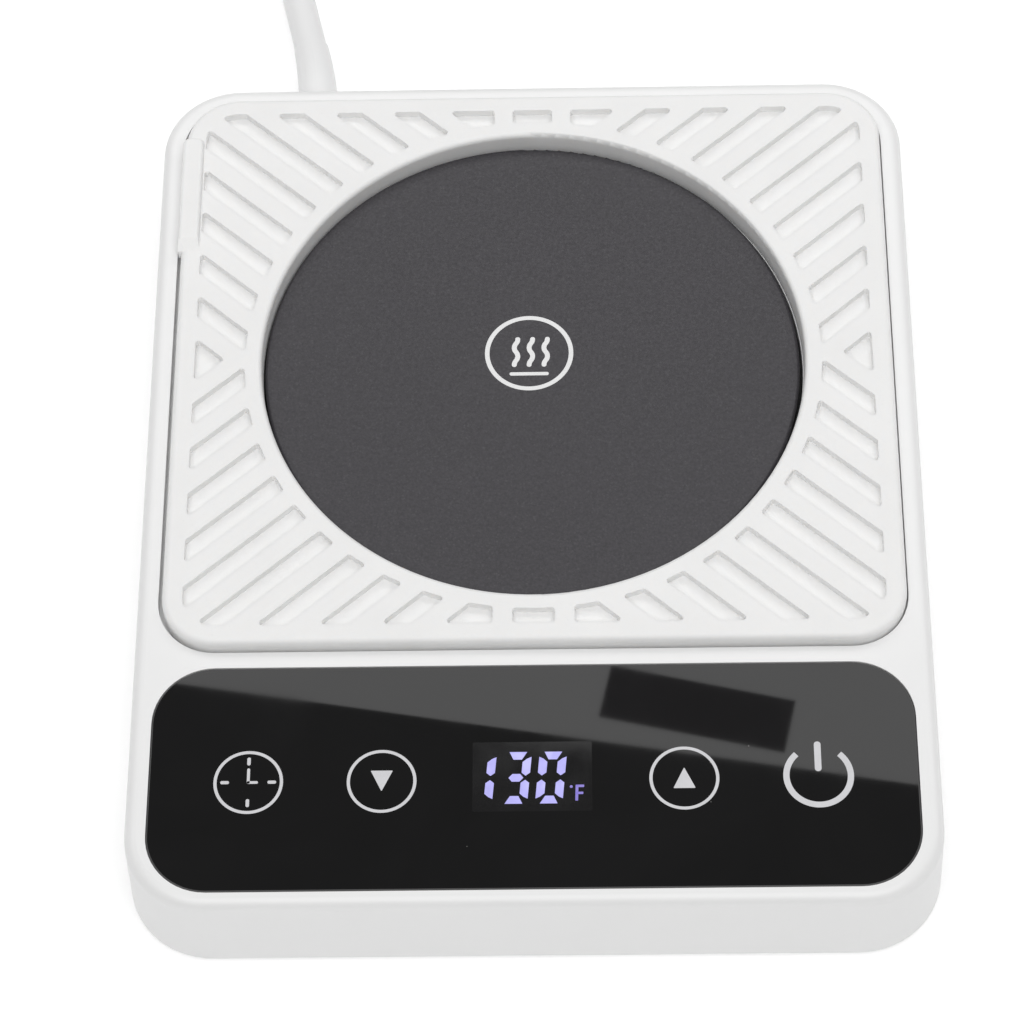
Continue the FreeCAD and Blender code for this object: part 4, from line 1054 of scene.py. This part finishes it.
@dataclass(frozen=True)
class PhotoCamera:
    """The camera that the picture was taken with, in metres."""

    place: Point = (0.0091629, -0.2954384, 0.5064080)
    side: Point = (0.9996926, 0.00062628, -0.02478517)
    rise: Point = (0.01202816, 0.86190525, 0.50692668)
    ahead: Point = (-0.02167995, 0.50706897, -0.86163277)
    focal_mm: float = 129.295
    sensor_mm: float = 36.0

    def build(self) -> None:
        """Make the camera and let the scene use it."""
        data = bpy.data.cameras.new("photo_camera")
        data.lens = self.focal_mm
        data.sensor_fit = "HORIZONTAL"
        data.sensor_width = self.sensor_mm
        data.clip_start = 0.01
        camera = bpy.data.objects.new("photo_camera", data)
        turn = Matrix((self.side, self.rise, [-part for part in self.ahead])).transposed()
        camera.matrix_world = Matrix.Translation(self.place) @ turn.to_4x4()
        bpy.context.scene.collection.objects.link(camera)
        bpy.context.scene.camera = camera


@dataclass(frozen=True)
class Studio:
    """A pale floor, an even surround, two soft lights and a small card that the glass mirrors, in metres."""

    floor_size: float = 8.0
    surround: float = 0.2
    rear_edge: Point = (-0.0135, 0.353, 0.8)
    rear_turn: float = -9.4
    rear_size: Place = (2.2, 0.55)
    rear_radiance: float = 1.74
    front_place: Point = (0.0, -0.5, 1.3)
    front_size: Place = (1.5, 1.0)
    front_radiance: float = 2.8
    flag_place: Point = (0.049, 0.36, 0.795)
    flag_size: Place = (0.073, 0.023)
    flag_turn: float = -13.0

    def build(self) -> None:
        """Set the look of colours, the surround, the floor and the lights."""
        scene = bpy.context.scene
        scene.view_settings.view_transform = "Standard"
        scene.view_settings.look = "None"
        world = bpy.data.worlds.new("even_surround")
        world.use_nodes = True
        sky = world.node_tree.nodes["Background"]
        sky.inputs["Color"].default_value = (1, 1, 1, 1)
        sky.inputs["Strength"].default_value = self.surround
        scene.world = world
        self.card("pale_floor", (self.floor_size, self.floor_size), PaleFloor("pale_floor_paper", (0.9, 0.9, 0.9)))
        dull = Moulding("dark_flag_card", (0.26, 0.25, 0.26), gloss=0.8)
        flag = self.card("dark_flag", self.flag_size, dull, self.flag_place, self.flag_turn)
        flag.visible_camera = flag.visible_diffuse = flag.visible_shadow = False
        turn = Matrix.Rotation(math.radians(self.rear_turn), 4, "Z")
        middle = Vector(self.rear_edge) + turn @ Vector((0, self.rear_size[1] / 2, 0))
        self.lamp("rear_softbox", Matrix.Translation(middle) @ turn, self.rear_size, self.rear_radiance)
        aim = Vector(self.front_place).to_track_quat("Z", "Y").to_matrix().to_4x4()
        self.lamp("front_softbox", Matrix.Translation(self.front_place) @ aim, self.front_size, self.front_radiance)

    def card(
        self, name: str, size: Place, finish: Finish, place: Point = (0, 0, 0), turn: float = 0
    ) -> bpy.types.Object:
        """Lay a level card: the floor, and the small dark flag that the glass mirrors as an oblong.

        Args:
            name: Its name.
            size: Width and depth.
            finish: Its finish.
            place: Its middle.
            turn: Its turn in degrees.

        Returns:
            The card, which is part of the stage.
        """
        shape = sheet(*size)
        bmesh.ops.rotate(shape, cent=(0, 0, 0), matrix=Matrix.Rotation(math.radians(turn), 3, "Z"), verts=shape.verts)
        bmesh.ops.translate(shape, vec=place, verts=shape.verts)
        card = settled(name, shape)
        card.data.materials.append(finish.make())
        return card

    def lamp(self, name: str, place: Matrix, size: Place, radiance: float) -> None:
        """Hang one soft light.

        Args:
            name: Its name.
            place: Its place and turn; it shines down its own Z.
            size: Width and depth.
            radiance: How bright its face is, where 1 is the white of the picture.
        """
        data = bpy.data.lights.new(name, "AREA")
        data.shape = "RECTANGLE"
        data.size, data.size_y = size
        data.energy = radiance * math.pi * size[0] * size[1]
        lamp = bpy.data.objects.new(name, data)
        lamp.matrix_world = place
        lamp.visible_camera = False
        bpy.context.scene.collection.objects.link(lamp)


@dataclass(frozen=True)
class MainsLead:
    """The lead: out of its strain relief, down to the table, and wound in a tied coil behind, in millimetres."""

    exit: Point = (-36.0, 74.48, 8.0)
    relief_tip: Point = (-37.65, 90.29, 6.67)
    heading: Point = (-0.205, 0.965, -0.165)
    overlap: float = 3.0
    first_run: float = 13.0
    route: tuple[Point, ...] = ((-43.2, 116.5, 3.0), (-44.4, 131.0, 3.37), (-44.4, 145.0, 3.37))
    coil_centre: Place = (-4.4, 150.5)
    coil_radius: float = 40.0
    turns: float = 5.25
    pitch: float = 6.1
    low_z: float = 3.37
    layer: float = 5.95
    climb_at: float = 2.625
    climb_turns: float = 0.5
    steps: int = 16
    tail_x: tuple[float, ...] = (8.0, 22.0)
    diameter: float = 5.5
    length: float = 1158.0

    def coil(self) -> list[Point]:
        """Wind the coil inwards in one layer and outwards again in a second on top of it.

        Returns:
            The control points of its turns.
        """
        points = []
        count = round(self.turns * self.steps)
        swell = 2 / (1 + math.cos(math.pi / self.steps))
        for step in range(1, count + 1):
            turn = step / self.steps
            radius = (self.coil_radius - self.pitch * min(turn, self.turns - turn)) * swell
            angle = math.pi - 2 * math.pi * turn
            share = (turn - self.climb_at + self.climb_turns / 2) / self.climb_turns
            climb = (1 - math.cos(math.pi * min(max(share, 0), 1))) / 2
            x = self.coil_centre[0] + radius * math.cos(angle)
            y = self.coil_centre[1] + radius * math.sin(angle)
            points.append((x, y, self.low_z + self.layer * climb))
        return points

    def path(self) -> list[Point]:
        """Lay out the whole lead, from inside the strain relief to inside the plug.

        Returns:
            Its control points.
        """
        way = Vector(self.heading).normalized()
        inside = Vector(self.relief_tip) - way * self.overlap
        beyond = Vector(self.relief_tip) + way * self.first_run
        start_of_coil = (self.coil_centre[0] - self.coil_radius, self.coil_centre[1], self.low_z)
        top_y = self.coil_centre[1] + self.coil_radius
        tail = [(x, top_y, self.low_z + self.layer) for x in self.tail_x]
        return [tuple(inside), tuple(beyond), *self.route, start_of_coil, *self.coil(), *tail]

    def build(self, shelf: FinishShelf) -> bpy.types.Object:
        """Lay the lead as one smooth tube and give it its finish.

        Args:
            shelf: Where its finish is.

        Returns:
            The lead's curve.
        """
        data = bpy.data.curves.new("mains_lead", "CURVE")
        data.dimensions = "3D"
        data.bevel_depth = self.diameter / 2 * MM
        data.bevel_resolution = 6
        data.resolution_u = 6
        data.use_fill_caps = True
        spline = data.splines.new("NURBS")
        points = self.path()
        spline.points.add(len(points) - 1)
        for place, point in zip(spline.points, points):
            place.co = (point[0] * MM, point[1] * MM, point[2] * MM, 1)
        spline.order_u = 3
        spline.use_endpoint_u = True
        lead = bpy.data.objects.new("mains_lead", data)
        bpy.context.scene.collection.objects.link(lead)
        shelf.dress(lead, "cord_cover")
        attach(lead, Body.HOUSING.value)
        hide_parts("cord_free", "cord_coil")
        return lead


@dataclass(frozen=True)
class PanelPrint:
    """The marks on the touch panel: four keys and the display, in millimetres on the glass."""

    glass_top: float = 18.0
    sunk: float = 0.01
    stands: float = 0.03
    key_radius: float = 5.17
    key_line: float = 0.48
    clock_at: Place = (-42.16, -53.92)
    down_at: Place = (-22.39, -53.96)
    up_at: Place = (22.36, -53.93)
    power_at: Place = (42.15, -53.75)
    power_radius: float = 5.22
    power_line: float = 0.93
    power_gap: float = 42.0

    def clock(self, art: FlatArt) -> None:
        """Draw the timer key: a ring with four ticks and two hands.

        Args:
            art: The drawing.
        """
        x, y = self.clock_at
        art.ring(self.clock_at, self.key_radius, self.key_line)
        for right, up, width, height, corner in (
            (0, 3.45, 0.52, 1.3, 0.25),
            (0, -3.4, 0.52, 1.3, 0.25),
            (-3.5, 0, 1.3, 0.52, 0.25),
            (3.5, 0, 1.3, 0.52, 0.25),
            (0, 1.05, 0.44, 2.5, 0.21),
            (0.62, -0.02, 1.65, 0.44, 0.21),
        ):
            art.bar((x + right, y + up), (width, height), corner)

    def arrow(self, art: FlatArt, centre: Place, upward: bool) -> None:
        """Draw an adjusting key: a ring with a triangle."""
        art.ring(centre, self.key_radius, self.key_line)
        art.triangle((centre[0], centre[1] + 0.05), 3.3, 3.4, 0.16, upward)

    def power(self, art: FlatArt) -> None:
        """Draw the power key: a broken ring with a bar in its gap.

        Args:
            art: The drawing.
        """
        x, y = self.power_at
        radius = self.power_radius - self.power_line / 2
        half = math.radians(self.power_gap)
        start = (x + radius * math.sin(half), y + radius * math.cos(half))
        art.stroke(start, -self.power_gap, self.power_line, [(Turn.RIGHT, radius, 360 - 2 * self.power_gap)], 0.02)
        art.bar((x, y + 3.15), (1.0, 4.9), 0.48)

    def build(self, shelf: FinishShelf) -> list[bpy.types.Object]:
        """Print the four keys on the glass.

        Args:
            shelf: Where the ink is.

        Returns:
            The four prints.
        """
        pieces = []
        for name, draw in (
            ("timer_key_print", self.clock),
            ("cooler_key_print", lambda art: self.arrow(art, self.down_at, False)),
            ("warmer_key_print", lambda art: self.arrow(art, self.up_at, True)),
            ("power_key_print", self.power),
        ):
            art = FlatArt()
            draw(art)
            piece = art.solid(name, self.glass_top - self.sunk, self.glass_top + self.stands)
            shelf.dress(piece, "panel_ink")
            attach(piece, Body.HOUSING.value)
            pieces.append(piece)
        return pieces


@dataclass(frozen=True)
class DigitDisplay:
    """The display behind the glass: a smoked window, three lit digits and the unit, in millimetres."""

    glass_top: float = 18.0
    window_at: Place = (-0.1, -53.4)
    window_size: Place = (17.7, 11.4)
    digits: str = "130"
    first_x: float = -7.72
    pitch: float = 5.2
    middle_y: float = -53.62
    digit_size: Place = (4.05, 8.5)
    thick: float = 1.26
    lean: float = 0.088
    unit_at: Place = (6.55, -57.45)

    def upright(self, art: FlatArt, centre: Place, side: int, rise: int) -> None:
        """Draw an upright segment: its far end leans to the corner, its near end is pointed.

        Args:
            art: The drawing.
            centre: Middle of the digit.
            side: 1 for the right, -1 for the left.
            rise: 1 for the upper half, -1 for the lower.
        """
        width, height = self.digit_size
        shape = sheet(self.thick, 1, columns=2)
        near, far = 0.34, height / 2 - 0.82
        for vertex in shape.verts:
            vertex.co.y = far if vertex.co.y > 0 else near
        shape.verts.ensure_lookup_table()
        inner = [v for v in shape.verts if v.co.x < -0.1 and v.co.y > 1]
        centre_far = [v for v in shape.verts if abs(v.co.x) < 0.1 and v.co.y > 1]
        corners = [v for v in shape.verts if abs(v.co.x) > 0.1 and v.co.y < 1]
        bmesh.ops.translate(shape, vec=(0, -0.85, 0), verts=inner)
        bmesh.ops.translate(shape, vec=(0, -0.3, 0), verts=centre_far)
        bmesh.ops.translate(shape, vec=(0, 0.5, 0), verts=corners)
        place = Matrix.Translation((centre[0] + side * (width - self.thick) / 2, centre[1], 0))
        art.take(shape, place @ Matrix.Diagonal((side, rise, 1, 1)))

    def level(self, art: FlatArt, centre: Place, rise: int) -> None:
        """Draw a level segment: the top and bottom ones taper inwards, the middle one is pointed at both ends.

        Args:
            art: The drawing.
            centre: Middle of the digit.
            rise: 1 for the top, -1 for the bottom, 0 for the middle.
        """
        height = self.digit_size[1]
        shape = sheet(2.62 if rise else 2.2, self.thick, rows=1 if rise else 2)
        if rise:
            bmesh.ops.scale(shape, vec=(0.48, 1, 1), verts=[v for v in shape.verts if v.co.y < 0])
            place = Matrix.Translation((centre[0], centre[1] + rise * (height - self.thick) / 2, 0))
            art.take(shape, place @ Matrix.Diagonal((1, rise, 1, 1)))
        else:
            bmesh.ops.scale(shape, vec=(0.52, 1, 1), verts=[v for v in shape.verts if abs(v.co.y) > 0.1])
            art.take(shape, Matrix.Translation((*centre, 0)))

    def digit(self, art: FlatArt, figure: str, centre: Place) -> None:
        """Draw the lit segments of one figure.

        Args:
            art: The drawing.
            figure: The figure.
            centre: Middle of its place.
        """
        lit = {"0": "tbULul", "1": "UL", "3": "tbmUL"}[figure]
        for mark, rise in (("t", 1), ("b", -1), ("m", 0)):
            if mark in lit:
                self.level(art, centre, rise)
        for mark, side, rise in (("U", 1, 1), ("L", 1, -1), ("u", -1, 1), ("l", -1, -1)):
            if mark in lit:
                self.upright(art, centre, side, rise)

    def build(self, shelf: FinishShelf) -> list[bpy.types.Object]:
        """Make the window, the digits and the unit.

        Args:
            shelf: Where their finishes are.

        Returns:
            The three pieces.
        """
        window = FlatArt()
        window.bar(self.window_at, self.window_size, 0.25)
        figures = FlatArt()
        for index, figure in enumerate(self.digits):
            self.digit(figures, figure, (self.first_x + index * self.pitch, self.middle_y))
        unit = FlatArt()
        x, y = self.unit_at
        unit.bar((x, y + 1.3), (0.42, 2.6), 0.08)
        unit.bar((x + 0.45, y + 2.4), (1.2, 0.4), 0.08)
        unit.bar((x + 0.4, y + 1.25), (1.1, 0.38), 0.08)
        unit.ring((x - 0.85, y + 2.3), 0.22, 0.2, steps=20)
        pieces = []
        for art, name, finish, rise, lean in (
            (window, "display_window", "window", 0.012, 0.0),
            (figures, "display_digits", "digit_light", 0.03, self.lean),
            (unit, "display_unit", "unit_light", 0.03, 0.03),
        ):
            piece = art.solid(name, self.glass_top - 0.01, self.glass_top + rise, lean, self.middle_y)
            shelf.dress(piece, finish)
            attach(piece, Body.HOUSING.value)
            pieces.append(piece)
        return pieces


@dataclass(frozen=True)
class SteamMark:
    """A plain mark printed in the middle of the hot plate: three wisps over a saucer line, in a thin ring."""

    plate_top: float = 17.25
    centre: Place = (-0.45, 21.6)
    ring_radius: float = 7.0
    line: float = 0.72
    wisp_gap: float = 2.35
    wisp_radius: float = 1.3
    wisp_swing: float = 38.0

    def build(self, shelf: FinishShelf) -> bpy.types.Object:
        """Print the mark.

        Args:
            shelf: Where the ink is.

        Returns:
            The print.
        """
        art = FlatArt()
        x, y = self.centre
        art.ring(self.centre, self.ring_radius, self.line, steps=96)
        art.bar((x, y - 3.9), (6.2, 0.62), 0.3)
        swing = self.wisp_swing
        moves = [
            (Turn.RIGHT, self.wisp_radius, swing),
            (Turn.LEFT, self.wisp_radius, 2 * swing),
            (Turn.RIGHT, self.wisp_radius, 2 * swing),
            (Turn.LEFT, self.wisp_radius, swing),
        ]
        for place in (-1, 0, 1):
            art.stroke((x + place * self.wisp_gap, y - 2.6), 90, 0.78, moves, 0.4)
        piece = art.solid("steam_mark", self.plate_top - 0.02, self.plate_top + 0.02)
        shelf.dress(piece, "plate_ink")
        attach(piece, Body.HOT_PLATE.value)
        return piece


class MugWarmer:
    """The whole object: every CAD node dressed, and the pieces that are only made here."""

    def __init__(self, frame: dict) -> None:
        """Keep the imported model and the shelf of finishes."""
        self.frame = frame
        self.shelf = FinishShelf()

    def dress_nodes(self) -> None:
        """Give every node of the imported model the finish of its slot."""
        for row in self.frame["record"]["subparts"]:
            node = self.frame["nodes"][row["node"]]
            self.shelf.dress(node, row["material_slot"])
            log.info("node %s dressed as %s", row["node"], row["material_slot"])

    def build(self) -> None:
        """Make the lead first, then dress the nodes and print the marks."""
        lead = MainsLead().build(self.shelf)
        log.info("piece %s", lead.name)
        self.dress_nodes()
        mat = SoftenedNode("silicone_mat", "soft_mat", "silicone", Body.MAT)
        log.info("piece %s", mat.build(self.frame, self.shelf).name)
        for piece in [*PanelPrint().build(self.shelf), *DigitDisplay().build(self.shelf), SteamMark().build(self.shelf)]:
            log.info("piece %s, %d faces", piece.name, len(piece.data.polygons))


def main() -> None:
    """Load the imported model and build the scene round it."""
    logging.basicConfig(level=logging.INFO, format="%(name)s: %(message)s")
    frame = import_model()
    PhotoCamera().build()
    warmer = MugWarmer(frame)
    warmer.build()
    Studio().build()


if __name__ == "__main__":
    main()
